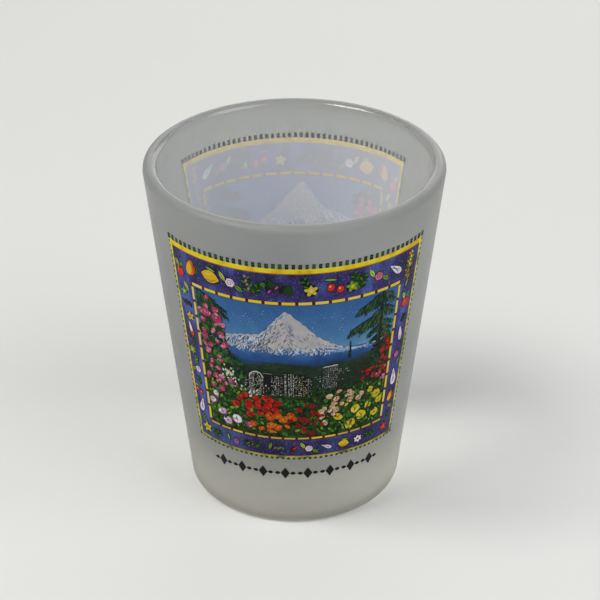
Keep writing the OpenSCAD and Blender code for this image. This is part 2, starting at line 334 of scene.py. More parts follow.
def glass_profile():
    """The outline from the middle of the underside, out, up, over the rim and down to the middle
    of the inner floor, as (radius, height, finish of the band that ends there)."""
    rim_z = GLASS_H - RIM_ROUND
    rim_x = wall_r(rim_z) - RIM_ROUND / math.cos(WALL_TAPER)
    foot_x = wall_r(FOOT_ROUND) - FOOT_ROUND / math.cos(WALL_TAPER)
    corner_z = FLOOR_Z + FLOOR_ROUND
    inner_rim_r = rim_x - RIM_ROUND / math.cos(BORE_TAPER)
    bore_r = inner_rim_r - math.tan(BORE_TAPER) * (rim_z - corner_z)
    corner_x = bore_r - FLOOR_ROUND / math.cos(BORE_TAPER)

    points = [(0, RECESS_DEPTH, FROSTED)]

    def carry_on(more, finish):
        points.extend((x, z, finish) for x, z in more)

    step_top = (RECESS_R - RECESS_DEPTH, RECESS_DEPTH)
    carry_on(straight((0, RECESS_DEPTH), step_top, 12), FROSTED)
    carry_on(straight(step_top, (RECESS_R, 0), 3), FROSTED)
    carry_on(straight((RECESS_R, 0), (foot_x, 0), 5), FROSTED)
    foot = arc((foot_x, FOOT_ROUND), FOOT_ROUND, -math.pi / 2, -WALL_TAPER, 10)
    carry_on(foot[1:], FROSTED)
    rim = arc((rim_x, rim_z), RIM_ROUND, -WALL_TAPER, math.pi - BORE_TAPER, 26)
    # Where the steps of painted glow at the foot begin
    glow_top = (wall_r(FOOT_TOP), FOOT_TOP)
    carry_on(straight(foot[-1], glow_top, 17), FROSTED)
    carry_on(straight(glow_top, rim[0], 30), FROSTED)
    carry_on(rim[1:RIM_ETCHED], FROSTED)
    carry_on(rim[RIM_ETCHED:-RIM_POLISHED], RIM)
    carry_on(rim[-RIM_POLISHED:], POLISHED)
    corner = arc((corner_x, corner_z), FLOOR_ROUND, -BORE_TAPER, -math.pi / 2, 12)
    carry_on(straight(rim[-1], corner[0], 20), POLISHED)
    carry_on(corner[1:], POLISHED)
    carry_on(straight(corner[-1], (0, FLOOR_Z), 14), POLISHED)
    return points


def finish_at(point):
    """A profile point's finish, with the step of the foot's painted glow at its height."""
    _, z, finish = point
    if finish != FROSTED or z > FOOT_TOP:
        return finish
    step = int((FOOT_STEPS + 1) * (FOOT_TOP - z) / (FOOT_TOP - FOOT_LIGHT))
    return FROSTED + min(FOOT_STEPS, step)


def add_glass():
    """The tumbler: its profile turned about the upright axis, closed at two middle points."""
    profile = glass_profile()
    inner = profile[1:-1]
    verts = [(0, 0, profile[0][1] * MM), (0, 0, profile[-1][1] * MM)]
    for r, z, _ in inner:
        for i in range(SEGMENTS):
            turn = 2 * math.pi * i / SEGMENTS
            verts.append((r * math.sin(turn) * MM, -r * math.cos(turn) * MM, z * MM))
    faces, finishes = [], []

    def at(ring, i):
        return 2 + ring * SEGMENTS + i % SEGMENTS

    for i in range(SEGMENTS):
        faces.append((0, at(0, i + 1), at(0, i)))
        finishes.append(finish_at(inner[0]))
        for ring in range(1, len(inner)):
            faces.append((at(ring - 1, i), at(ring - 1, i + 1), at(ring, i + 1), at(ring, i)))
            finishes.append(finish_at(inner[ring]))
        faces.append((1, at(len(inner) - 1, i), at(len(inner) - 1, i + 1)))
        finishes.append(POLISHED)
    mesh = bpy.data.meshes.new("glass")
    mesh.from_pydata(verts, [], faces)
    mesh.materials.append(glass_material("rim_glass", RIM_COLOR, *RIM_LOOK))
    mesh.materials.append(glass_material("polished_glass", POLISHED_COLOR, *POLISHED_LOOK))
    # The frosted finishes: the etched wall, then the steps of painted glow towards the foot
    for step in range(FOOT_STEPS + 1):
        color = [a + (b - a) * step / FOOT_STEPS for a, b in zip(ETCHED_COLOR, FOOT_GLOW_COLOR)]
        mesh.materials.append(glass_material("frosted_glass_" + str(step), color, *ETCHED_LOOK))
    mesh.polygons.foreach_set("material_index", finishes)
    mesh.polygons.foreach_set("use_smooth", [True] * len(faces))
    mesh.update()
    place_piece("tumbler", mesh, "glass_body")


def place_piece(name, mesh, node):
    """A mesh as a piece that stands in for a node of the CAD model."""
    piece = add_object(name, mesh)
    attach(piece, "root")
    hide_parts(node)


# ---------------------------------------------------------------- inks
INKS = {
    "yellow": (230, 202, 44),
    "pale_yellow": (224, 206, 104),
    "old_yellow": (188, 168, 74),
    "orange_edge": (190, 112, 24),
    "maroon": (84, 16, 28),
    "tooth_green": (28, 62, 38),
    "tooth_moss": (50, 76, 34),
    "tooth_black": (26, 38, 32),
    "black": (20, 21, 15),
    "outline": (20, 18, 34),
    "apple_red": (208, 44, 26),
    "orange": (198, 104, 20),
    "lemon": (216, 178, 30),
    "lemon_shade": (198, 132, 22),
    "plum": (92, 32, 80),
    "plum_light": (176, 104, 168),
    "leaf_pale": (190, 206, 92),
    "leaf_bright": (118, 154, 36),
    "leaf_mid": (58, 112, 28),
    "leaf_deep": (24, 62, 16),
    "leaf_dark": (8, 28, 8),
    "white": (228, 226, 230),
    "cream": (214, 192, 158),
    "mint": (178, 198, 164),
    "peach": (198, 150, 116),
    "pink_light": (206, 132, 158),
    "pink": (162, 56, 90),
    "pink_deep": (96, 22, 46),
    "lilac": (206, 162, 194),
    "lilac_deep": (148, 86, 138),
    "red": (164, 20, 10),
    "red_light": (192, 42, 20),
    "red_dim": (128, 18, 10),
    "red_deep": (84, 6, 8),
    "flame": (192, 70, 10),
    "gold": (204, 186, 20),
    "gold_light": (216, 202, 70),
    "gold_deep": (160, 96, 12),
    "wall_dark": (14, 18, 16),
    "wall_grey": (40, 46, 44),
    "wall_light": (158, 148, 100),
    "window": (190, 193, 188),
    "window_dim": (124, 128, 120),
    "rock": (76, 92, 124),
    "rock_dark": (40, 50, 74),
    "far_blue": (32, 62, 106),
    "ice": (132, 164, 204),
    "snow_white": (214, 220, 230),
    "bark": (20, 26, 20),
    "fir": (18, 52, 36),
    "fir_light": (38, 84, 46),
    "fir_dark": (6, 26, 20),
    "fir_pale": (66, 96, 58),
    "grass": (44, 60, 26),
}
materials = {}


def paled_by(name):
    return PALED_YELLOW if name in YELLOWS else PALED


def finish_ink(name, paint):
    """The soft uneven gloss and fine grain that screen-printed enamel has."""
    paint.constant("Specular IOR Level", 0.12)
    paint.feed("Roughness", paint.uneven(paint.noise(900), 0.36, 0.54))
    paint.grain(5200, 2.5e-6)
    materials[name] = paint.material


def ink_material(name):
    """The material of an ink, or of its underside when the name starts with PALE."""
    if name not in materials:
        paint = Paint("ink_" + name)
        plain_name = name.removeprefix(PALE)
        color = linear(INKS[plain_name])
        if name.startswith(PALE):
            share = paled_by(plain_name)
            color = [c + (w - c) * share for c, w in zip(color, linear(UNDERLAY_COLOR))]
        paint.constant("Base Color", (*color, 1))
        finish_ink(name, paint)
    return materials[name]


def border_color(paint):
    """Violet-blue laid on with dry strokes, with fine lighter specks; duller along the top and
    darker low down."""
    strokes = paint.noise(300, 5, stretch=(1, 1, 0.5))
    broad = paint.ramp(
        strokes,
        (0.36, (26, 20, 50)), (0.45, (52, 44, 106)), (0.53, (62, 60, 140)), (0.62, (82, 108, 190)),
    )
    dull = paint.ramp(
        strokes,
        (0.32, (16, 14, 30)), (0.43, (38, 35, 66)), (0.53, (48, 48, 88)), (0.66, (60, 84, 134)),
    )
    low = paint.blend(paint.height(17.4, 19.6, 0.15), dull, broad)
    half_dull = paint.combine("MULTIPLY", paint.height(46.2, 48.0), 0.45, clamp=True)
    ground = paint.blend(half_dull, low, dull)
    fine = paint.ramp(
        paint.noise(3400, 3),
        (0.4, (28, 24, 56)), (0.52, (56, 52, 110)), (0.62, (70, 68, 134)), (0.7, (146, 150, 196)),
    )
    return paint.blend(0.36, ground, fine)


def sky_color(paint):
    stops = (0, (100, 147, 180)), (0.45, (68, 118, 168)), (1, (50, 94, 152))
    return paint.ramp(paint.height(35, 46, 0.14), *stops)


def haze_color(paint):
    stops = (0, (28, 56, 92)), (0.4, (40, 82, 142)), (1, (74, 120, 176))
    return paint.ramp(paint.height(33.5, 38, 0.2), *stops)


def snow_color(paint):
    return paint.ramp(
        paint.noise(800, 6, stretch=(1, 1, 0.7)),
        (0.34, (162, 164, 174)), (0.45, (178, 175, 178)),
        (0.58, (186, 181, 181)), (0.7, (198, 198, 202)),
    )


def hill_color(paint):
    stops = (0, (22, 30, 16)), (0.3, (30, 38, 22)), (0.6, (26, 44, 26)), (1, (38, 60, 44))
    return paint.ramp(paint.height(27, 35, 0.3), *stops)


def soil_color(paint):
    stops = (0.36, (10, 20, 6)), (0.5, (22, 44, 12)), (0.66, (46, 82, 20))
    return paint.ramp(paint.noise(1100, 4), *stops)


def rule_color(paint):
    """Strong yellow along the top, paler with green and orange tints down the sides, olive
    below and darkened there by painted shade, as less light reaches the low part."""
    patches = paint.noise(520)
    top_stops = (0.36, (212, 172, 20)), (0.48, (232, 204, 22)), (0.66, (238, 218, 50))
    top = paint.ramp(patches, *top_stops)
    sides = paint.ramp(
        patches,
        (0.38, (128, 140, 44)), (0.46, (196, 188, 80)),
        (0.56, (216, 198, 96)), (0.64, (206, 158, 60)),
    )
    # Olive along the bottom, darkened by painted shade for the low part of the glass
    olive_shaded_stops = (0.38, (92, 100, 34)), (0.48, (156, 146, 56)), (0.6, (186, 170, 78))
    below = paint.ramp(patches, *olive_shaded_stops)
    low = paint.blend(paint.height(15.0, 16.0), below, sides)
    return paint.blend(paint.height(50.4, 51.2), low, top)


PAINTED = {
    "border_ground": border_color,
    "sky": sky_color,
    "haze": haze_color,
    "snow": snow_color,
    "hill": hill_color,
    "soil": soil_color,
    "rule": rule_color,
}


def make_painted_inks():
    """The painted inks and their undersides."""
    for name, build_color in PAINTED.items():
        for prefix in ("", PALE):
            paint = Paint("ink_" + prefix + name)
            color = build_color(paint)
            if prefix:
                white = paint.nodes.new("ShaderNodeRGB").outputs["Color"]
                white.default_value = (*linear(UNDERLAY_COLOR), 1)
                color = paint.blend(paled_by(name), color, white)
            paint.feed("Base Color", color)
            finish_ink(prefix + name, paint)


def make_underlay_ink():
    """Thin white enamel that lets the inks on it show through faintly, seen from inside."""
    paint = Paint("ink_underlay")
    paint.constant("Base Color", (*linear(UNDERLAY_COLOR), 1))
    paint.constant("Alpha", UNDERLAY_COVER)
    finish_ink("underlay", paint)


# ---------------------------------------------------------------- shapes on the wall
class Coat:
    """The shapes of one printed coat: thin closed solids, fused a little way into the glass and
    standing above it by a lift in millimetres. What is printed later has the larger lift and goes
    deeper in, so that it also comes first for an eye inside the glass."""

    def __init__(self):
        self.verts, self.faces, self.face_inks, self.inks = [], [], [], []

    def point(self, a, z, lift):
        r, turn = wall_r(z) + lift, math.radians(a)
        self.verts.append((r * math.sin(turn) * MM, -r * math.cos(turn) * MM, z * MM))
        return len(self.verts) - 1

    def face(self, corners, ink):
        if ink not in self.inks:
            self.inks.append(ink)
        self.faces.append(corners)
        self.face_inks.append(self.inks.index(ink))

    def sheet(self, rows, ink, lift, root=None, closed=False):
        """A patch through rows of places: each row runs to the right and the next lies above it.
        A closed one joins each row's end to its start."""
        pale = PALE + ink if root is None else ink
        root = -SINK * lift if root is None else root
        top = [[self.point(a, z, lift) for a, z in row] for row in rows]
        under = [[self.point(a, z, root) for a, z in row] for row in rows]
        columns = len(rows[0])
        steps = range(columns if closed else columns - 1)
        for i in range(len(rows) - 1):
            for j in steps:
                k = (j + 1) % columns
                self.face((top[i][j], top[i][k], top[i + 1][k], top[i + 1][j]), ink)
                self.face((under[i][j], under[i + 1][j], under[i + 1][k], under[i][k]), pale)
            if not closed:
                self.face((top[i][0], top[i + 1][0], under[i + 1][0], under[i][0]), ink)
                self.face((top[i][-1], under[i][-1], under[i + 1][-1], top[i + 1][-1]), ink)
        for j in steps:
            k = (j + 1) % columns
            self.face((top[0][j], under[0][j], under[0][k], top[0][k]), ink)
            self.face((top[-1][j], top[-1][k], under[-1][k], under[-1][j]), ink)

    def blob(self, place, outline, ink, lift, root=None):
        """A shape whose whole outline can be seen from its middle. The outline runs
        anticlockwise, in millimetres around the place."""
        a0, z0 = place
        per_mm = degrees_per_mm(z0)
        rings = 1 + int(max(math.hypot(x, y) for x, y in outline) / 1.2)
        sides = []
        for level in (-SINK * lift if root is None else root, lift):
            loops = []
            for share in [n / rings for n in range(1, rings + 1)]:
                places = [(a0 + x * per_mm * share, z0 + y * share) for x, y in outline]
                loops.append([self.point(a, z, level) for a, z in places])
            sides.append((self.point(a0, z0, level), loops))
        count = len(outline)
        for (middle, loops), upper in zip(sides, (False, True)):
            shade = ink if upper or root is not None else PALE + ink
            for i in range(count):
                j, k = (i, (i + 1) % count) if upper else ((i + 1) % count, i)
                self.face((middle, loops[0][j], loops[0][k]), shade)
                for inner, outer in zip(loops, loops[1:]):
                    self.face((inner[j], outer[j], outer[k], inner[k]), shade)
        low, high = sides[0][1][-1], sides[1][1][-1]
        for j in range(count):
            k = (j + 1) % count
            self.face((high[j], low[j], low[k], high[k]), ink)

    def stroke(self, place, path, widths, ink, lift):
        """A brush stroke along a path, in millimetres around the place, as wide as widths say."""
        a0, z0 = place
        per_mm = degrees_per_mm(z0)
        right, left = [], []
        for i, (x, y) in enumerate(path):
            ax, ay = path[max(i - 1, 0)]
            bx, by = path[min(i + 1, len(path) - 1)]
            length = math.hypot(bx - ax, by - ay)
            nx, ny = (ay - by) / length, (bx - ax) / length
            half = widths[i] / 2
            left.append((a0 + (x + nx * half) * per_mm, z0 + y + ny * half))
            right.append((a0 + (x - nx * half) * per_mm, z0 + y - ny * half))
        self.sheet([right, left], ink, lift)

    def outlined(self, place, outline, ink, lift, edge="outline", width=0.13):
        """A blob with a darker edge around it."""
        self.blob(place, grown(outline, width), edge, lift)
        self.blob(place, outline, ink, lift + LAYER)

    def build(self, name, node, slot, turn):
        mesh = bpy.data.meshes.new(name)
        mesh.from_pydata(self.verts, [], self.faces)
        for ink in self.inks:
            mesh.materials.append(ink_material(ink))
        mesh.polygons.foreach_set("material_index", self.face_inks)
        mesh.transform(Matrix.Rotation(math.radians(turn), 4, "Z"))
        mesh.update()
        place_piece(name, mesh, node)


def degrees_per_mm(z):
    return math.degrees(1 / wall_r(z))


def near(place, x, y):
    """The place x millimetres to the right of and y above another."""
    return place[0] + x * degrees_per_mm(place[1]), place[1] + y


def along(length, degrees):
    """A step of a length in millimetres, in a direction anticlockwise from straight up."""
    return -length * math.sin(math.radians(degrees)), length * math.cos(math.radians(degrees))


def turned(outline, degrees):
    c, s = math.cos(math.radians(degrees)), math.sin(math.radians(degrees))
    return [(x * c - y * s, x * s + y * c) for x, y in outline]


def grown(outline, by):
    radii = [max(math.hypot(x, y), 0.01) for x, y in outline]
    return [(x * (r + by) / r, y * (r + by) / r) for (x, y), r in zip(outline, radii)]


def polar(count, radius):
    """An outline of so many points whose distance from the middle is radius(angle)."""
    angles = [2 * math.pi * i / count for i in range(count)]
    return [(radius(t) * math.cos(t), radius(t) * math.sin(t)) for t in angles]


def oval(rx, ry, count=12):
    return [(rx * x, ry * y) for x, y in polar(count, lambda t: 1)]


def lobed(radius, lobes, dent):
    """A round outline of rounded lobes, dented between them by a share of the radius."""
    return polar(lobes * 4, lambda t: radius * (1 - dent * (1 - abs(math.cos(lobes * t / 2)))))


def ragged(radius, uneven, draw, count=10):
    radii = [radius * (1 - uneven * draw.random()) for _ in range(count)]
    return [(r * x, r * y) for r, (x, y) in zip(radii, polar(count, lambda t: 1))]


def rectangle(width, height):
    x, y = width / 2, height / 2
    return [(-x, -y), (x, -y), (x, y), (-x, y)]


def leaf(length, width, steps=5):
    """A pointed leaf that stands upright around its middle."""
    shares = [i / steps for i in range(steps)]
    right = [(width / 2 * math.sin(math.pi * t) ** 0.8, length * (t - 0.5)) for t in shares]
    return right + [(-x, -y) for x, y in right]


def bulb(length, width, taper):
    """A shape around its middle that is round below and narrower above by the taper's share."""
    points = polar(16, lambda t: 1)
    return [(width / 2 * x * (1 - taper * (1 + y) / 2), length / 2 * y) for x, y in points]


def scatter(seed, middle, half_a, half_z, spacing, margin=0.6):
    """Uneven rows of places in an oval patch of the picture, about spacing millimetres apart
    and at least margin inside the picture's edge."""
    draw = random.Random(seed)
    places = []
    rows = int(2 * half_z / (spacing * 0.87)) + 1
    for row in range(rows):
        level = middle[1] - half_z + (row + 0.5) * 2 * half_z / rows
        step = spacing * degrees_per_mm(level)
        columns = int(2 * half_a / step) + 1
        for column in range(columns):
            a = middle[0] - half_a + (column + 0.25 + 0.5 * (row % 2)) * step
            a += draw.uniform(-0.32, 0.32) * step
            z = level + draw.uniform(-0.32, 0.32) * spacing
            in_patch = math.hypot((a - middle[0]) / half_a, (z - middle[1]) / half_z) < 1
            if in_patch and in_picture(a, z, margin):
                places.append((a, z))
    return places


def in_picture(a, z, margin):
    in_height = PICTURE[0] + margin < z < PICTURE[1] - margin
    return in_height and abs(a) < half_angle(PICTURE, z) - margin * degrees_per_mm(z)


# ---------------------------------------------------------------- frame of the picture
def places_around(outline, count):
    """Places around an outline from its lower left corner, anticlockwise, so many on each side."""
    low, high, at_low, at_high = outline
    corners = [(-at_low, low), (at_low, low), (at_high, high), (-at_high, high)]
    places = []
    for (a0, z0), (a1, z1) in zip(corners, corners[1:] + corners[:1]):
        places += [(a0 + (a1 - a0) * i / count, z0 + (z1 - z0) * i / count) for i in range(count)]
    return places


def draw_band(coat, outer, inner, ink, lift, rows=1):
    """A mitred band between two outlines."""
    start, end = places_around(outer, 48), places_around(inner, 48)
    lines = [
        [(a + (b - a) * n / rows, z + (y - z) * n / rows) for (a, z), (b, y) in zip(start, end)]
        for n in range(rows + 1)
    ]
    coat.sheet(lines, ink, lift, closed=True)


def draw_land(coat, low, high, ink, lift, rows=4, root=None, outline=None):
    """A stretch from side to side of an outline, between two heights that depend on the angle."""
    outline = outline or PICTURE
    columns = 120
    lines = [[] for _ in range(rows + 1)]
    for i, line in enumerate(lines):
        for j in range(columns + 1):
            share = 2 * j / columns - 1
            a = share * outline[3]
            z = low(a) + (high(a) - low(a)) * i / rows
            line.append((share * half_angle(outline, z), z))
    coat.sheet(lines, ink, lift, root)


def draw_underlay(coats):
    flat = (lambda a: RULE[0]), (lambda a: RULE[1])
    top, root = UNDERLAY
    draw_land(coats["white_underlay"], *flat, "underlay", top, rows=10, root=root, outline=RULE)


def draw_rule(coats):
    """The outer rule, with a thin orange edge along its inside that is widest at the top."""
    low, high, at_low, at_high = BAND
    seam = (low - 0.02, high + 0.16, at_low + 0.05, at_high + 0.05)
    draw_band(coats["outer_rule"], RULE, seam, "rule", GROUND)
    draw_band(coats["outer_rule"], seam, BAND, "orange_edge", GROUND)


def draw_teeth(coats):
    """Green ticks over the top, round beads half on the rule below and short ticks beside it."""
    coat, draw = coats["edge_teeth"], random.Random(5)
    shades = ["tooth_green", "tooth_moss", "tooth_black"]
    low, high, at_low, at_high = RULE
    on_rule = GROUND + LAYER
    above, below, beside = 46, 42, 40
    for i in range(above):
        share = 2 * i / (above - 1) - 1
        width, height = draw.uniform(0.48, 0.62), draw.uniform(0.8, 0.96)
        place = (share * at_high, high + 0.02 + height / 2)
        coat.blob(place, rectangle(width, height), draw.choice(shades), ON_GLASS, FACE)
        fleck = ragged(0.17, 0.5, draw, 6)
        coat.blob(near(place, 0.04, 0.08), fleck, "leaf_mid", ON_GLASS + LAYER, FACE)
    for i in range(below):
        share = 2 * i / (below - 1) - 1
        bead = [(1.05 * x, y) for x, y in ragged(0.27, 0.25, draw, 9)]
        coat.blob((share * at_low, low - 0.02), bead, draw.choice(shades), on_rule, FACE)
    for i in range(beside):
        z = low + 0.4 + (high - low - 0.8) * i / (beside - 1)
        for side in (-1, 1):
            place = near((side * half_angle(RULE, z), z), side * -0.05, 0)
            tick = rectangle(0.28, draw.uniform(0.36, 0.56))
            coat.blob(place, tick, draw.choice(shades), on_rule, FACE)


def draw_dashes(coats):
    """Yellow dashes along the inner rule, thinner and duller below."""
    coat, draw = coats["inner_dashes"], random.Random(6)
    shades = ["yellow", "yellow", "pale_yellow"]
    dull_shades = ["yellow", "old_yellow", "old_yellow"]
    count, side_count = 14, 9
    gap = 0.35
    top = (PICTURE[1] + gap, PICTURE[3], 0.25, shades)
    bottom = (PICTURE[0] - gap, PICTURE[2], 0.17, dull_shades)
    for z, half, reach, inks in (top, bottom):
        pitch = 2 * (half + 1.2) / count
        for i in range(count):
            middle = pitch * (i + 0.5 - count / 2)
            columns = [middle + 0.8 * pitch * (k / 4 - 0.5) for k in range(5)]
            rows = [[(a, z - reach) for a in columns], [(a, z + reach) for a in columns]]
            coat.sheet(rows, draw.choice(inks), SHAPES)
    for i in range(side_count):
        z = PICTURE[0] + (PICTURE[1] - PICTURE[0]) * (i + 0.5) / side_count
        for side in (-1, 1):
            place = (side * (half_angle(PICTURE, z) + 0.72), z)
            coat.blob(place, rectangle(0.44, 2.4), draw.choice(shades), SHAPES)


# ---------------------------------------------------------------- motifs of the border
class Motif:
    """A motif at a place in the border. Positions and lengths in it are in shares of its size."""

    def __init__(self, coats, place, size):
        self.coats, self.place, self.size = coats, place, size
        self.fruit = coats["border_fruit"]
        self.leaves = coats["border_leaves"]
        self.flowers = coats["border_flowers"]

    def at(self, x, y):
        return near(self.place, x * self.size, y * self.size)

    def moved(self, x, y):
        return Motif(self.coats, self.at(x, y), self.size)

    def scaled(self, outline):
        return [(x * self.size, y * self.size) for x, y in outline]

    def body(self, coat, outline, ink, edge="outline", width=0.13, lift=SHAPES):
        coat.outlined(self.place, self.scaled(outline), ink, lift, edge, width)

    def mark(self, coat, x, y, outline, ink, lift=DETAILS):
        coat.blob(self.at(x, y), self.scaled(outline), ink, lift)

    def line(self, coat, path, widths, ink, lift=DETAILS):
        coat.stroke(self.place, self.scaled(path), widths, ink, lift)

    def leaf(self, x, y, length, width, degrees, ink, vein=None):
        leaf_at = self.moved(x, y)
        leaf_at.body(self.leaves, turned(leaf(length, width), degrees), ink, "leaf_dark", 0.09)
        if vein:
            path = [along(length * t, degrees) for t in (-0.4, 0, 0.4)]
            leaf_at.line(self.leaves, path, [0.05, 0.13, 0.04], vein)


def draw_leaf(motif, width, degrees, ink, vein=None):
    """A leaf alone: the motif's size is its length, and its width is in millimetres."""
    motif.leaf(0, 0, 1, width / motif.size, degrees, ink, vein)


def draw_apple(motif):
    motif.body(motif.fruit, turned(lobed(1.05, 2, 0.12), 90), "apple_red", "red_deep")
    motif.mark(motif.fruit, -0.38, 0.25, oval(0.22, 0.42), "orange")
    motif.mark(motif.fruit, 0.1, 0.85, oval(0.3, 0.14), "red_deep")
    motif.leaf(-0.6, 1.6, 1.8, 0.7, 24, "leaf_pale", "leaf_mid")
    motif.leaf(0.5, 1.6, 1.5, 0.6, -34, "leaf_bright", "leaf_mid")


def draw_pear(motif):
    motif.body(motif.fruit, turned(bulb(3.4, 2.5, 0.4), -12), "orange", "red_deep")
    motif.mark(motif.fruit, -0.25, -0.15, turned(bulb(2.8, 1.7, 0.45), -12), "lemon")
    motif.line(motif.fruit, [(1.0, -0.9), (1.0, 0.1), (0.6, 1.0)], [0.15, 0.34, 0.12], "apple_red")
    motif.leaf(1.4, 0.1, 2.3, 0.7, 8, "leaf_mid", "leaf_deep")


def draw_lemon(motif):
    motif.body(motif.fruit, turned(leaf(3.6, 2.5), 78), "lemon", width=0.2)
    shade = [(-0.9, -0.65), (0.2, -0.85), (1.1, -0.35)]
    motif.line(motif.fruit, shade, [0.1, 0.36, 0.1], "lemon_shade")
    motif.mark(motif.fruit, -0.3, 0.4, oval(0.6, 0.2), "gold_light")
    motif.leaf(0.2, 1.5, 2.0, 0.6, 74, "leaf_mid", "leaf_pale")


def draw_cherries(motif):
    for x, y in ((-0.8, -0.1), (0.85, -0.65)):
        cherry = motif.moved(x, y)
        cherry.body(cherry.fruit, oval(0.62, 0.7), "apple_red", "red_deep")
        cherry.mark(cherry.fruit, -0.15, 0.22, oval(0.16, 0.2, 8), "cream")
        cherry.line(cherry.leaves, [(0, 0.6), (-x * 0.5, 1.3)], [0.12, 0.1], "leaf_dark", SHAPES)
    motif.leaf(-0.9, 1.45, 2.3, 0.6, 84, "leaf_mid", "leaf_pale")


def draw_plums(motif):
    """Two small plums on a crowd of leaves."""
    draw = random.Random(int(1000 + 10 * motif.place[0]))
    for i in range(9):
        x, y = 0.62 * (i - 4), draw.uniform(-0.5, 0.6)
        ink = draw.choice(["leaf_dark", "leaf_deep", "leaf_deep", "leaf_mid"])
        tilt = draw.uniform(-55, 55)
        motif.leaf(x, y, draw.uniform(1.6, 2.6), 0.85, tilt, ink)
    for x, y in ((-0.9, -0.75), (0.3, 0.1)):
        plum = motif.moved(x, y)
        plum.body(plum.fruit, turned(oval(0.36, 0.6), -35), "plum", lift=DETAILS)
        shine = turned(oval(0.12, 0.36, 8), -35)
        plum.mark(plum.fruit, 0, 0, shine, "plum_light", DETAILS + 2 * LAYER)


def draw_rosette(motif, shades, leaves=True):
    """A round rose: lobed petals around a spiral heart."""
    dark, petal, light = shades
    motif.body(motif.flowers, lobed(0.95, 6, 0.12), petal, width=0.1)
    motif.mark(motif.flowers, 0, 0, turned(lobed(0.8, 5, 0.16), 20), light)
    curl = []
    for i in range(16):
        turn = 0.62 * i
        radius = 0.66 * (1 - turn / 11)
        curl.append((radius * math.cos(turn), radius * math.sin(turn)))
    widths = [0.11 * motif.size + 0.02] * len(curl)
    motif.line(motif.flowers, curl, widths, dark, DETAILS + LAYER)
    if leaves:
        motif.leaf(-1.5, 1.0, 2.1, 0.8, 30, "leaf_pale", "leaf_mid")
        motif.leaf(1.55, -0.85, 1.9, 0.8, 52, "leaf_bright", "leaf_deep")


def draw_daisy(motif, petal, heart, petals=6):
    motif.mark(motif.flowers, 0, 0, lobed(1.1, petals, 0.3), "outline", SHAPES - 0.01)
    for i in range(petals):
        degrees = 360 * i / petals + 11
        outline = turned(oval(0.3, 0.48, 10), degrees)
        motif.mark(motif.flowers, *along(0.52, degrees), outline, petal, SHAPES + 0.002 * i)
    motif.mark(motif.flowers, 0, 0, oval(0.3, 0.3, 10), heart)


def draw_sprig(motif, shades, degrees=0, berry=None):
    """A stem with leaves in pairs and, if asked for, berries along it."""
    stem = [along(t, degrees) for t in (-1.6, -0.5, 0.5, 1.5)]
    motif.line(motif.leaves, stem, [0.14, 0.12, 0.1, 0.06], shades[0], SHAPES)
    for i, t in enumerate((-1.1, -0.35, 0.4, 1.1)):
        for side in (-1, 1):
            x, y = along(t, degrees)
            dx, dy = along(0.5, degrees + 62 * side)
            ink = shades[(i + (side > 0)) % len(shades)]
            motif.leaf(x + dx, y + dy, 1.25 - 0.1 * i, 0.42, degrees + 50 * side, ink)
    if berry:
        for t in (-0.6, 0.15, 0.8, 1.6):
            motif.mark(motif.fruit, *along(t, degrees), oval(0.2, 0.24, 8), berry)


def draw_shell(motif, degrees, rib="plum_light"):
    """A long white shell with ribs."""
    motif.body(motif.flowers, turned(bulb(3.1, 1.7, 0.85), degrees), "white", width=0.12)
    for tilt in (-13, 0, 13):
        path = [along(t, degrees + tilt * (1 - 0.4 * t)) for t in (-1.1, 0, 0.9)]
        motif.line(motif.flowers, path, [0.03, 0.07, 0.03], rib)


def draw_bud(motif, tip, base, degrees=0):
    """A long closed bud in two colours."""
    motif.body(motif.flowers, turned(bulb(2.5, 1.1, 0.7), degrees), base, width=0.1)
    motif.mark(motif.flowers, *along(0.35, degrees), turned(bulb(1.7, 0.62, 0.7), degrees), tip)


WHITE_ROSE = ("lilac_deep", "lilac", "white")
PINK_ROSE = ("pink_deep", "pink", "pink_light")
PLUM_ROSE = ("plum", "pink", "plum_light")
DARK_GREENS = ("leaf_deep", "leaf_mid")
LIGHT_GREENS = ("leaf_bright", "leaf_mid")

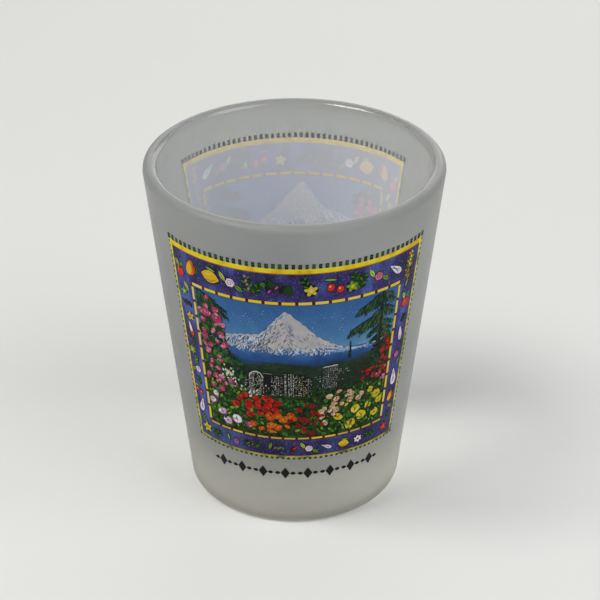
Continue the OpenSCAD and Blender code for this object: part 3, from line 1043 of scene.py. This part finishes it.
# The border's motifs: how each is drawn, its angle, height and size, and what else it takes
MOTIFS = [
    # along the top
    (draw_apple, -51.2, 47.5, 0.9), (draw_pear, -44.7, 49.2, 0.9), (draw_lemon, -34.8, 49.0, 0.95),
    (draw_rosette, -26.0, 48.9, 0.9, WHITE_ROSE),
    (draw_sprig, -18.8, 49.1, 1.05, DARK_GREENS, 14, "plum_light"),
    (draw_sprig, -15.2, 48.6, 0.8, DARK_GREENS, -24), (draw_plums, -8.3, 49.1, 0.95),
    (draw_sprig, 3.4, 50.0, 0.7, ("leaf_dark", "leaf_mid"), 24),
    (draw_daisy, 5.4, 48.6, 1.1, "gold", "cream", 5), (draw_cherries, 14.8, 49.0, 0.95),
    (draw_sprig, 25.6, 48.9, 0.95, DARK_GREENS, -16),
    (draw_sprig, 22.6, 49.9, 0.8, DARK_GREENS, 20),
    (draw_daisy, 21.6, 48.5, 1.05, "leaf_bright", "gold", 5),
    (draw_rosette, 33.0, 49.1, 0.9, PINK_ROSE), (draw_shell, 41.3, 49.2, 1.05, 52, "outline"),
    (draw_sprig, 49.6, 49.4, 1.0, ("lemon_shade", "leaf_mid"), -8, "pale_yellow"),
    (draw_sprig, 48.8, 47.0, 0.7, ("lemon_shade", "leaf_mid"), 12),
    # down the left
    (draw_leaf, -48.6, 45.1, 1.8, 0.7, 30, "leaf_pale", "leaf_mid"),
    (draw_daisy, -50.4, 43.8, 0.72, "leaf_bright", "leaf_pale", 5), (draw_plums, -49.6, 41.7, 0.36),
    (draw_daisy, -48.7, 39.2, 0.8, "gold", "orange", 5),
    (draw_bud, -49.3, 36.7, 1.15, "white", "flame", 12),
    (draw_sprig, -49.0, 34.3, 0.5, DARK_GREENS, 30),
    (draw_daisy, -50.6, 32.3, 0.8, "leaf_bright", "gold", 6),
    (draw_sprig, -48.9, 30.4, 0.5, LIGHT_GREENS, -20),
    (draw_rosette, -48.2, 28.7, 0.68, WHITE_ROSE, False),
    (draw_leaf, -51.2, 28.4, 1.6, 0.6, -50, "leaf_bright", "leaf_mid"),
    (draw_sprig, -48.8, 26.3, 0.55, DARK_GREENS, 8), (draw_cherries, -49.6, 24.3, 0.55),
    (draw_shell, -48.8, 21.4, 0.95, -14), (draw_sprig, -48.4, 18.7, 0.45, LIGHT_GREENS, 20),
    # down the right
    (draw_leaf, 49.0, 45.3, 1.5, 0.6, -25, "leaf_mid", "leaf_pale"), (draw_apple, 50.0, 41.4, 0.9),
    (draw_sprig, 50.2, 38.2, 0.5, ("leaf_deep", "leaf_dark"), -20),
    (draw_bud, 49.5, 35.4, 1.2, "white", "lilac", 8),
    (draw_leaf, 51.4, 33.6, 1.4, 0.5, 20, "leaf_deep", "leaf_mid"),
    (draw_rosette, 48.8, 31.3, 0.66, PINK_ROSE, False),
    (draw_leaf, 50.4, 29.7, 1.5, 0.6, -30, "leaf_bright", "leaf_mid"),
    (draw_shell, 48.9, 26.8, 1.12, 6), (draw_pear, 48.3, 22.9, 0.6),
    (draw_leaf, 49.2, 20.7, 1.4, 0.6, 60, "leaf_bright", "leaf_mid"),
    (draw_sprig, 48.6, 18.9, 0.5, DARK_GREENS, 0),
    # along the bottom
    (draw_daisy, -47.2, 16.9, 0.95, "gold", "leaf_bright", 5),
    (draw_sprig, -40.5, 16.8, 0.62, DARK_GREENS, 84),
    (draw_leaf, -33.8, 17.0, 1.4, 0.6, 10, "leaf_mid", "leaf_pale"),
    (draw_rosette, -29.6, 16.5, 0.6, PLUM_ROSE, False), (draw_plums, -21.5, 16.7, 0.52),
    (draw_leaf, -12.4, 17.0, 1.4, 0.5, -14, "leaf_bright", "leaf_mid"),
    (draw_sprig, -7.6, 16.7, 0.58, DARK_GREENS, 96, "plum_light"),
    (draw_bud, -1.0, 16.7, 0.7, "red_light", "red_deep", -48),
    (draw_rosette, 5.8, 16.6, 0.68, WHITE_ROSE), (draw_shell, 14.2, 16.7, 0.6, 66),
    (draw_lemon, 22.8, 16.6, 0.58), (draw_daisy, 30.4, 16.7, 0.74, "white", "apple_red", 6),
    (draw_sprig, 37.6, 16.7, 0.6, DARK_GREENS, 84),
    (draw_daisy, 46.4, 16.8, 0.8, "apple_red", "orange", 5),
]


def draw_motifs(coats):
    for draw_motif, a, z, size, *options in MOTIFS:
        draw_motif(Motif(coats, (a, z), size), *options)


# ---------------------------------------------------------------- the picture
# The snow peak's outline, as angles and heights
RIDGE = [
    (-46, 37.3), (-36, 38.0), (-29, 38.7), (-23, 39.3), (-18, 39.6), (-15, 39.9), (-12.5, 41.0),
    (-9.5, 42.5), (-7, 43.7), (-4.8, 44.6), (-3.4, 44.4), (0, 43.0), (2.6, 42.1), (5.2, 40.9),
    (8.5, 39.5), (12, 38.6), (16, 37.6), (20, 36.9), (25, 36.5), (32, 36.4), (40, 36.5), (46, 36.6),
]


def snow_foot_z(a):
    """The height down to which snow lies: uneven, and a little lower to the right."""
    return 36.75 - 0.013 * max(a, 0) + 0.12 * math.sin(0.9 * a) + 0.08 * math.sin(2.3 * a)


def ridge_z(a):
    for (a0, z0), (a1, z1) in zip(RIDGE, RIDGE[1:]):
        if a <= a1:
            slope = z0 + (z1 - z0) * (a - a0) / (a1 - a0)
            return slope + 0.1 * math.sin(2.1 * a) + 0.06 * math.sin(5.3 * a)
    return RIDGE[-1][1]


def bump(a, middle, width, height):
    return height * math.exp(-((a - middle) / width) ** 2)


def hill_z(a):
    humps = bump(a, -7, 10, 1.0) + bump(a, 16, 5, 0.4) + bump(a, 48, 16, 3.2)
    return 33.5 + humps + 0.1 * math.sin(math.radians(21 * a))


def far_hill_z(a):
    return 33.6 + bump(a, -32, 9, 1.7) + bump(a, -14, 5, 0.9) + bump(a, 30, 9, 1.2)


def garden_z(a):
    return 28.2 + 1.3 * (a / PICTURE[3]) ** 2 + 0.25 * math.sin(math.radians(40 * a))


def draw_sky(coats):
    """The sky above the ridge, haze behind everything below it and small specks of white."""
    coat, draw = coats["sky"], random.Random(12)
    draw_land(coat, lambda a: ridge_z(a) - 0.5, lambda a: PICTURE[1], "sky", GROUND)
    draw_land(coat, lambda a: PICTURE[0], lambda a: hill_z(a) - 0.6, "haze", GROUND, rows=8)
    for a, z in scatter(13, (6, 40.6), 40, 4.6, 0.7, 0.2):
        if z > ridge_z(a) + 0.3 and draw.random() < 0.7:
            size = draw.uniform(0.02, 0.065)
            ink = draw.choice(["ice", "ice", "snow_white"])
            coat.blob((a, z), oval(size, size, 6), ink, GROUND + LAYER)


def draw_mountain(coats):
    """Haze low on the mountain, its snow, far blue hills before it and brush marks over them."""
    coat, draw = coats["mountain"], random.Random(11)

    def behind_hill(a):
        return hill_z(a) - 0.8

    draw_land(coat, behind_hill, lambda a: min(37.2, ridge_z(a)), "haze", SHAPES - 0.01)
    draw_land(coat, lambda a: min(snow_foot_z(a), ridge_z(a) - 0.3), ridge_z, "snow", SHAPES)
    draw_land(coat, behind_hill, lambda a: max(far_hill_z(a), hill_z(a)), "far_blue", SHAPES)
    draw_snow_foot(coat, draw)
    draw_flecks(coat, draw)
    draw_drifts(coat, draw)


def brush_line(length, lean, bend=0.0):
    """Three points down a line of a length that leans to the right and bends."""
    return [(0, 0), ((lean / 2 + bend) * length, -length / 2), (lean * length, -length)]


def draw_snow_foot(coat, draw):
    """Short brush marks of snow and of the blue below it, every way, along the snow's foot."""
    inks = ["snow_white", "ice", "haze", "rock", "haze", "snow_white", "snow_white"]
    for _ in range(620):
        a = draw.uniform(-41, 32)
        start = min(snow_foot_z(a) + draw.uniform(-0.3, 0.75), ridge_z(a) - 0.15)
        length, width = draw.uniform(0.2, 0.62), draw.uniform(0.06, 0.15)
        path = brush_line(length, draw.uniform(-1.3, 1.3), draw.uniform(-0.15, 0.15))
        lift = SHAPES + draw.uniform(0.01, 0.025)
        coat.stroke((a, start), path, [width, width, 0.3 * width], draw.choice(inks), lift)


def draw_flecks(coat, draw):
    """Brush marks down the slopes: dense blue and white on the left shoulder, where rock shows
    through, and fine and dark on the snow face, fewer to the right."""
    shoulder = ["haze", "rock", "snow_white", "haze", "rock_dark", "snow_white", "snow_white"]
    face = ["rock", "rock_dark", "rock_dark", "rock_dark", "snow_white"]
    for _ in range(1700):
        a = draw.uniform(-41, 30)
        top = ridge_z(a) - 0.2
        foot = snow_foot_z(a)
        z = foot + (top - foot) * draw.random()
        on_shoulder = a < -14 + 2.2 * (z - 39)
        share = 0.85 if on_shoulder else min(0.75, max(0.08, (3 - a) / 22))
        if top < foot + 0.3 or draw.random() > share:
            continue
        away = -1 if a < -4 else 1
        if on_shoulder:
            length, width = draw.uniform(0.3, 0.85), draw.uniform(0.08, 0.17)
        else:
            length, width = draw.uniform(0.25, 0.65), draw.uniform(0.05, 0.11)
        path = brush_line(length, away * draw.uniform(0.1, 1.2), draw.uniform(-0.12, 0.12))
        ink = draw.choice(shoulder if on_shoulder else face)
        coat.stroke((a, z), path, [0.4 * width, width, 0.3 * width], ink, SHAPES + 0.026)


def draw_drifts(coat, draw):
    """Long thin drifts that sweep down to the right over the blue low on the right slope: broad
    blue ones first, then narrow white ones."""
    blue_count, count = 14, 34
    for i in range(count):
        start_a = draw.uniform(11, 24)
        start = (start_a, min(draw.uniform(36.2, 38.0), ridge_z(start_a) - 0.3))
        reach = draw.uniform(2.0, 4.4)
        fall = draw.uniform(0.05, 0.28)
        path = [(reach * t, -fall * reach * (t - 0.35 * t * t)) for t in (0, 0.25, 0.5, 0.75, 1)]
        width = draw.uniform(0.05, 0.13)
        is_blue = i < blue_count
        ink = "haze" if is_blue else draw.choice(["snow_white", "snow_white", "ice"])
        wide = 2.2 * width if is_blue else width
        lift = SHAPES + (0.028 if is_blue else 0.032)
        end_a, end_z = near(start, *path[-1])
        if end_z < ridge_z(end_a) - 0.1:
            coat.stroke(start, path, [0.3 * wide, wide, wide, 0.8 * wide, 0.2 * wide], ink, lift)


def draw_hills(coats):
    """The wooded hill behind the town, with dark marks for its trees."""
    coat, draw = coats["hills"], random.Random(14)
    draw_land(coat, lambda a: garden_z(a) - 0.8, hill_z, "hill", SHAPES + LAYER)
    for a, z in scatter(15, (0, 31.3), 46, 3.3, 0.6, 0.4):
        if z < hill_z(a) - 0.3:
            length = draw.uniform(0.3, 0.7)
            ink = draw.choice(["leaf_dark", "fir_dark", "grass", "fir"])
            outline = turned(leaf(length, 0.3 * length, 3), draw.uniform(50, 130))
            coat.blob((a, z), outline, ink, SHAPES + 2 * LAYER)


# How far the town's roof lines and windows stand above the wall
TOWN_MARKS = DETAILS + 2 * LAYER

# The town's blocks from the left: angle of the middle, base, width, height and style
TOWN = [
    (-21.2, 28.3, 1.2, 2.6, "scratch"), (-17.4, 27.9, 2.4, 4.3, "dome"),
    (-12.6, 27.8, 1.7, 4.3, "bare"), (-9.2, 27.7, 1.3, 4.2, "scratch"),
    (-7.0, 27.8, 0.8, 4.0, "dots"), (-4.9, 27.8, 0.7, 4.5, "floors"),
    (-2.4, 27.7, 1.0, 4.7, "tower"), (0.4, 27.8, 1.2, 4.3, "dots"), (2.9, 27.6, 0.8, 4.3, "frame"),
    (5.2, 27.9, 1.0, 3.5, "scratch"), (9.0, 28.9, 1.1, 2.9, "faint"),
    (14.2, 29.0, 2.5, 4.4, "roof"), (18.6, 29.4, 1.4, 3.4, "faint"),
    (21.6, 30.6, 1.2, 2.0, "faint"),
]

# Roof lines of some styles: shares of the block's width and heights from its top, widths, ink
CROWNS = {
    "dome": (
        [(-0.47, -1.2), (-0.42, -0.5), (-0.22, -0.04), (0.04, 0.06), (0.28, -0.12), (0.46, -0.8)],
        [0.16, 0.22, 0.18, 0.26, 0.16, 0.1],
        "window",
    ),
    "roof": (
        [(-0.5, -0.1), (-0.25, 0.0), (0.05, 0.05), (0.3, 0.12), (0.5, 0.1)],
        [0.1, 0.14, 0.12, 0.16, 0.08],
        "window",
    ),
    "bare": ([(-0.5, -0.04), (0, 0.03), (0.5, -0.02)], [0.06, 0.09, 0.06], "window_dim"),
}


def draw_town(coats):
    """Dark blocks crowded together, with pale roof lines and windows."""
    coat, draw = coats["town"], random.Random(21)
    for i, (a, base, width, height, style) in enumerate(TOWN):
        middle = (a, base + height / 2)
        wall = "wall_grey" if style == "roof" else "wall_dark"
        if style != "faint":
            coat.blob(middle, rectangle(width, height), wall, DETAILS + 0.001 * i)
        if style in CROWNS:
            crown, widths, ink = CROWNS[style]
            path = [(x * width, height / 2 + y) for x, y in crown]
            coat.stroke(middle, path, widths, ink, TOWN_MARKS)
        draw_windows(coat, middle, width, height, style, draw)


# A block's windows by its style: pitch across and up in millimetres, the share that is there
# and the share of those that are bright
WINDOWS = {
    "bare": (0.4, 0.5, 0.14, 0.3), "faint": (0.34, 0.42, 0.5, 0.2), "roof": (0.27, 0.36, 0.8, 0.16),
    "dome": (0.22, 0.3, 0.9, 0.8), "floors": (0.7, 0.24, 1.0, 0.5), "tower": (0.3, 0.27, 0.97, 0.9),
    "dots": (0.26, 0.38, 0.72, 0.3), "scratch": (0.24, 0.36, 0.72, 0.34),
    "frame": (0.24, 0.4, 0.7, 0.3),
}


def draw_windows(coat, middle, width, height, style, draw):
    """A block's windows: uneven rows of pale marks, some of them missing. The dome's rows bend
    down at their ends, and its middle stays darker."""
    across, up, share, lit = WINDOWS[style]
    columns, rows = max(1, round(width / across)), int(height / up)
    for i in range(columns * rows):
        x = width * ((i % columns + 0.5) / columns - 0.5) + draw.uniform(-0.05, 0.05)
        y = height * ((i // columns + 0.5) / rows - 0.5) + draw.uniform(-0.06, 0.06)
        if style == "dome":
            y -= 0.3 + 1.2 * (x / width) ** 2
        in_middle = style == "dome" and -0.12 < x / width < 0.06
        if draw.random() > (0.6 if in_middle else share):
            continue
        wide, tall = across * draw.uniform(0.5, 0.9), up * draw.uniform(0.5, 0.9)
        tilt = draw.uniform(-25, 25) if style in ("scratch", "dome") else draw.uniform(-5, 5)
        outline = [(px * wide / 2, py * tall / 2) for px, py in ragged(1.1, 0.4, draw, 6)]
        ink = "window" if draw.random() < lit and not in_middle else "window_dim"
        if style == "frame" or draw.random() < 0.1:
            ink = "wall_light"
        coat.blob(near(middle, x, y), turned(outline, tilt), ink, TOWN_MARKS)


# How far the trees stand above the wall: in front of the mountain and its brush marks
TREES = SHAPES + 0.037


def draw_bough(coat, start, reach, droop, needles, draw):
    """A bough that reaches sideways from its start and hangs, with long thin needles under it."""
    path = [(reach * t, -droop * t ** 1.4) for t in [i / 6 for i in range(7)]]
    coat.stroke(start, path, [0.22 - 0.024 * i for i in range(7)], "fir_dark", TREES)
    for i in range(needles):
        t = (i + draw.random()) / needles
        length = draw.uniform(0.7, 1.7) * (1.2 - 0.6 * t)
        spot = near(start, reach * t, -droop * t ** 1.4 - draw.uniform(0.15, 0.5) * length)
        tilt = draw.uniform(-16, 16) + (24 if reach > 0 else -24)
        ink = draw.choice(["fir", "fir_dark", "fir", "fir_light", "fir_pale"])
        if in_picture(spot[0], spot[1], 0.52 * length):
            needle = turned(leaf(length, 0.2 * length), tilt)
            coat.blob(spot, needle, ink, TREES + 0.03 * draw.random())


# The two big trees' boughs by the trunk's angle: height of the start, reach to the left (-) or
# right, and droop, in millimetres
RIGHT_TREE_A = 36.2
LEFT_TREE_A = -43.4
BOUGHS = {
    RIGHT_TREE_A: [
        (45.5, -1.8, 0.4), (45.4, 2.4, 0.6), (45.1, -4.4, 1.7), (44.7, -4.9, 2.0), (44.6, 3.0, 1.2),
        (44.2, -3.2, 1.5), (43.0, 2.9, 1.2), (42.5, -1.6, 0.8), (42.1, 3.0, 1.3), (41.8, -5.6, 2.1),
        (41.3, -6.0, 2.5), (40.8, -3.9, 1.9), (40.2, 3.0, 1.1), (39.3, -2.4, 1.3), (39.0, 2.9, 1.1),
        (37.8, 2.6, 1.0), (37.6, -1.8, 1.0),
    ],
    LEFT_TREE_A: [
        (45.5, 4.0, 1.0), (45.4, 6.0, 2.4), (44.7, 6.2, 2.9), (44.0, 4.8, 2.2), (43.2, 3.8, 1.6),
        (42.4, 4.4, 1.9), (41.4, 3.2, 1.4),
    ],
}
SMALL_TREE = (22.6, 34.7)


def draw_conifers(coats):
    """A tall tree on the right, boughs that reach in from the left and a small tree far off."""
    coat, draw = coats["conifers"], random.Random(31)
    trunk = [(0.12 - 0.03 * i, 2.66 * i) for i in range(5)]
    coat.stroke((RIGHT_TREE_A, 35.0), trunk, [0.62, 0.5, 0.4, 0.32, 0.25], "bark", TREES + 0.033)
    for a, boughs in BOUGHS.items():
        for z, reach, droop in boughs:
            draw_bough(coat, (a, z), reach, droop, int(6 + 10 * abs(reach)), draw)
    for i in range(7):
        tier = bulb(1.0, 0.85 - 0.09 * i, 0.8)
        ink = "fir_dark" if i % 2 else "fir"
        coat.blob(near(SMALL_TREE, 0, 0.45 * i), tier, ink, TREES + 0.004 * i)


def draw_foliage(coat, places, sizes, shades, seed, lift):
    """A leaf at each place: sizes is the range of their lengths."""
    draw = random.Random(seed)
    for place in places:
        length = draw.uniform(*sizes)
        outline = turned(leaf(length, length * draw.uniform(0.34, 0.6), 4), draw.uniform(-75, 75))
        coat.blob(place, outline, draw.choice(shades), lift + 0.035 * draw.random())


def draw_shrubs(coats):
    greens = ["leaf_dark", "leaf_deep", "fir", "leaf_deep"]
    greens += ["leaf_mid", "fir", "leaf_dark", "fir_light"]
    left = scatter(41, (-39.5, 36), 9.5, 7.6, 0.5, 0.4) + scatter(42, (-31, 31.5), 9, 3.6, 0.5, 0.4)
    draw_foliage(coats["shrubs"], left, (0.8, 1.4), greens, 44, SHAPES + 2 * LAYER)
    right = scatter(43, (40.5, 32.6), 8.5, 5.0, 0.5, 0.4)
    greens = ["leaf_dark", "grass", "leaf_deep", "fir_dark", "fir"]
    draw_foliage(coats["shrubs"], right, (0.5, 1.0), greens, 45, SHAPES + 2 * LAYER)


def draw_garden(coats):
    coat = coats["garden"]
    draw_land(coat, lambda a: PICTURE[0], garden_z, "soil", SHAPES + 1.5 * LAYER, rows=5)
    places = scatter(51, (0, 23.9), 62, 5.6, 0.5, 0.4)
    greens = ["leaf_dark", "leaf_dark", "leaf_deep", "leaf_deep", "grass", "leaf_mid"]
    draw_foliage(coat, places, (0.5, 1.0), greens, 52, SHAPES + 2 * LAYER)
    lit = scatter(53, (-32, 24.0), 16, 5.0, 0.75, 0.4) + scatter(54, (32, 23.5), 15, 5.0, 0.8, 0.4)
    lit += scatter(55, (0, 20.4), 30, 1.8, 1.3, 0.4)
    greens = ["leaf_mid", "leaf_deep", "leaf_bright", "leaf_mid", "leaf_deep", "grass"]
    draw_foliage(coat, lit, (0.5, 1.1), greens, 56, SHAPES + 5 * LAYER)


# Each flower's colours: shadow, petals, light petals, heart
REDS = ("red_deep", "red", "red_light", "red_deep")
CRIMSONS = ("leaf_dark", "red_dim", "red", "red_deep")
ORANGES = ("red_deep", "flame", "orange", "lemon")
PINKS = ("pink_deep", "pink", "pink_light", "pink_light")
LILACS = ("lilac_deep", "lilac", "white", "pink_deep")
PEACHES = ("leaf_dark", "peach", "cream", "pink_light")
GOLDS = ("leaf_dark", "gold", "gold_light", "gold_deep")

# Flower beds: coat, seed, angle and height of the middle, half width in degrees, half height,
# spacing and size of a flower in millimetres, colours
BEDS = [
    ("red_blossoms", 61, -18.0, 25.3, 11.5, 2.4, 1.45, 0.76, REDS),
    ("red_blossoms", 62, 5.0, 23.4, 9.5, 2.6, 1.4, 0.5, CRIMSONS),
    ("red_blossoms", 63, 36.5, 30.2, 8.5, 1.6, 1.0, 0.36, REDS),
    ("red_blossoms", 64, 41.0, 34.2, 3.2, 2.6, 1.1, 0.44, REDS),
    ("red_blossoms", 65, -7.0, 22.6, 7.0, 2.0, 1.6, 0.76, ORANGES),
    ("red_blossoms", 66, -16.5, 20.4, 7.0, 1.2, 1.6, 0.7, ORANGES),
    ("red_blossoms", 67, 3.0, 20.6, 6.0, 1.1, 1.5, 0.54, CRIMSONS),
    ("pink_blossoms", 71, -38.8, 36.8, 8.5, 8.2, 1.75, 0.64, PINKS),
    ("pink_blossoms", 72, -34.5, 28.4, 9.5, 2.0, 1.65, 0.58, PINKS),
    ("pink_blossoms", 75, 40.0, 29.0, 4.5, 1.6, 1.2, 0.36, PINKS),
    ("white_blossoms", 83, 22.0, 26.8, 10.5, 1.8, 1.4, 0.58, PEACHES),
    ("white_blossoms", 84, 14.2, 23.6, 4.8, 2.1, 1.3, 0.56, PEACHES),
]

# Single flowers: coat and colours, then angle, height and size in millimetres of each
SINGLE_FLOWERS = [
    ("yellow_blossoms", GOLDS, [
        (18.8, 22.7, 1.0), (25.2, 20.6, 1.06), (27.3, 23.5, 0.94), (30.7, 21.9, 0.98),
        (34.0, 23.6, 0.76), (38.3, 21.4, 0.8), (38.2, 25.2, 0.98), (40.2, 23.7, 0.7),
        (34.4, 26.6, 0.62), (22.6, 24.9, 0.4),
    ]),
    ("pink_blossoms", LILACS, [
        (-35.6, 22.2, 0.9), (-33.0, 20.7, 0.86), (-28.0, 21.5, 0.96), (-40.6, 23.9, 0.7),
    ]),
    ("pink_blossoms", PINKS, [(-22.2, 20.9, 0.6)]),
    ("pink_blossoms", LILACS, [(-38.4, 25.6, 0.56)]),
    ("pink_blossoms", PINKS, [(-33.6, 41.2, 1.0), (-39.0, 41.7, 0.96)]),
]


def draw_flower(coat, place, size, shades, draw, lift):
    """A garden flower seen at a slant: a shadow, uneven petals and a small heart."""
    shadow, petal, light, heart = shades
    slant, tilt = draw.uniform(0.62, 1.0), draw.uniform(-60, 60)
    outline = turned([(x, slant * y) for x, y in ragged(1.2 * size, 0.35, draw, 11)], tilt)
    coat.blob(near(place, 0.07, -0.1), outline, shadow, lift)
    count = draw.choice([4, 5, 5, 6])
    for i in range(count):
        around = 360 * i / count + draw.uniform(-18, 18)
        x, y = along(0.48 * size * draw.uniform(0.8, 1.1), around)
        long, wide = draw.uniform(0.85, 1.15) * size, draw.uniform(0.7, 1.0) * size
        outline = turned(bulb(long, wide, -0.5), around)
        outline = [(px * draw.uniform(0.84, 1.1), py * slant) for px, py in outline]
        x, y = turned([(x, slant * y)], tilt)[0]
        ink = light if draw.random() < 0.34 else petal
        coat.blob(near(place, x, y), turned(outline, tilt), ink, lift + 0.01 + 0.005 * i)
    for _ in range(4 if size > 0.5 else 0):
        path = [(0, 0), along(draw.uniform(0.4, 0.75) * size, draw.uniform(0, 360))]
        ink = heart if heart == "gold_deep" else draw.choice([shadow, light])
        coat.stroke(place, path, [0.16 * size, 0.06 * size], ink, lift + 0.05)
    outline = turned([(x, 0.6 * y) for x, y in ragged(0.24 * size, 0.4, draw, 7)], tilt)
    coat.blob(place, outline, heart, lift + 0.055)


def draw_beds(coats):
    for name, seed, a, z, half_a, half_z, spacing, size, shades in BEDS:
        draw = random.Random(seed)
        for place in scatter(seed + 500, (a, z), half_a, half_z, spacing, 1.1 * size):
            lift = DETAILS + 0.03 * draw.random()
            draw_flower(coats[name], place, size * draw.uniform(0.75, 1.15), shades, draw, lift)
    draw = random.Random(91)
    singles = [(name, shades, *spot) for name, shades, spots in SINGLE_FLOWERS for spot in spots]
    for i, (name, shades, a, z, size) in enumerate(singles):
        draw_flower(coats[name], (a, z), size, shades, draw, DETAILS + 0.002 * i)
    draw_flecks_of_blossom(coats["white_blossoms"], random.Random(81))


def draw_flecks_of_blossom(coat, draw):
    """Small white flecks in two drifts, the longer one first."""
    in_first, count = 32, 50
    for i in range(count):
        t = draw.random()
        spot = (-34 + 8.5 * t, 32.2 - 3.6 * t) if i < in_first else (-24.5 + 7 * t, 28.0 - 0.9 * t)
        spot = near(spot, draw.gauss(0, 0.5), draw.gauss(0, 0.45))
        outline = oval(draw.uniform(0.1, 0.17), draw.uniform(0.18, 0.3), 8)
        outline = turned(outline, draw.uniform(-35, 45))
        coat.blob(spot, outline, draw.choice(["white", "white", "mint", "cream"]), DETAILS + LAYER)


# The row of ornaments below the picture: how many, the outermost one's angle, and the height
ORNAMENTS = (8, 39, 11.2)


def draw_ornaments(coats):
    """A row of plain ornaments: a lozenge with a leaf on each side."""
    coat = coats["caption_ornaments"]
    count, last_a, z = ORNAMENTS
    for i in range(count):
        place = (last_a * (2 * i / (count - 1) - 1), z)
        lozenge = [(0, -1.2), (0.76, 0), (0, 1.2), (-0.76, 0)]
        coat.blob(place, lozenge, "black", ON_GLASS, FACE)
        for side in (-1, 1):
            outline = turned(leaf(0.95, 0.64), side * 90)
            coat.blob(near(place, side * 1.28, 0), outline, "black", ON_GLASS, FACE)


# Each coat's slot in the record
COATS = {
    "white_underlay": "white_ink", "outer_rule": "yellow_ink", "edge_teeth": "green_ink",
    "border_ground": "violet_ink", "border_fruit": "fruit_ink", "border_leaves": "bright_leaf_ink",
    "border_flowers": "petal_ink", "inner_rule": "dark_red_ink", "inner_dashes": "yellow_ink",
    "sky": "blue_ink", "mountain": "snow_ink", "hills": "hill_ink", "town": "grey_ink",
    "garden": "leaf_ink", "conifers": "conifer_ink", "shrubs": "leaf_ink",
    "red_blossoms": "red_ink", "pink_blossoms": "pink_ink", "white_blossoms": "cream_ink",
    "yellow_blossoms": "gold_ink", "caption_ornaments": "black_ink",
}


def add_transfers():
    """Both transfers: the coats are drawn once and built at the front and at the back."""
    make_painted_inks()
    make_underlay_ink()
    coats = {name: Coat() for name in COATS}
    draw_band(coats["border_ground"], BAND, INNER, "border_ground", GROUND, rows=5)
    draw_band(coats["inner_rule"], INNER, PICTURE, "maroon", GROUND)
    for draw_part in (
        draw_underlay, draw_rule, draw_teeth, draw_motifs, draw_dashes, draw_sky, draw_mountain,
        draw_hills, draw_town, draw_garden, draw_conifers, draw_shrubs, draw_beds, draw_ornaments,
    ):
        draw_part(coats)
    for side, turn in (("front", PRINT_TURN), ("back", 180 + PRINT_TURN)):
        for name, slot in COATS.items():
            coats[name].build(f"print_{side}_{name}", f"{side}_{name}", slot, turn)


add_camera()
add_lights()
add_floor()
add_glass()
add_transfers()
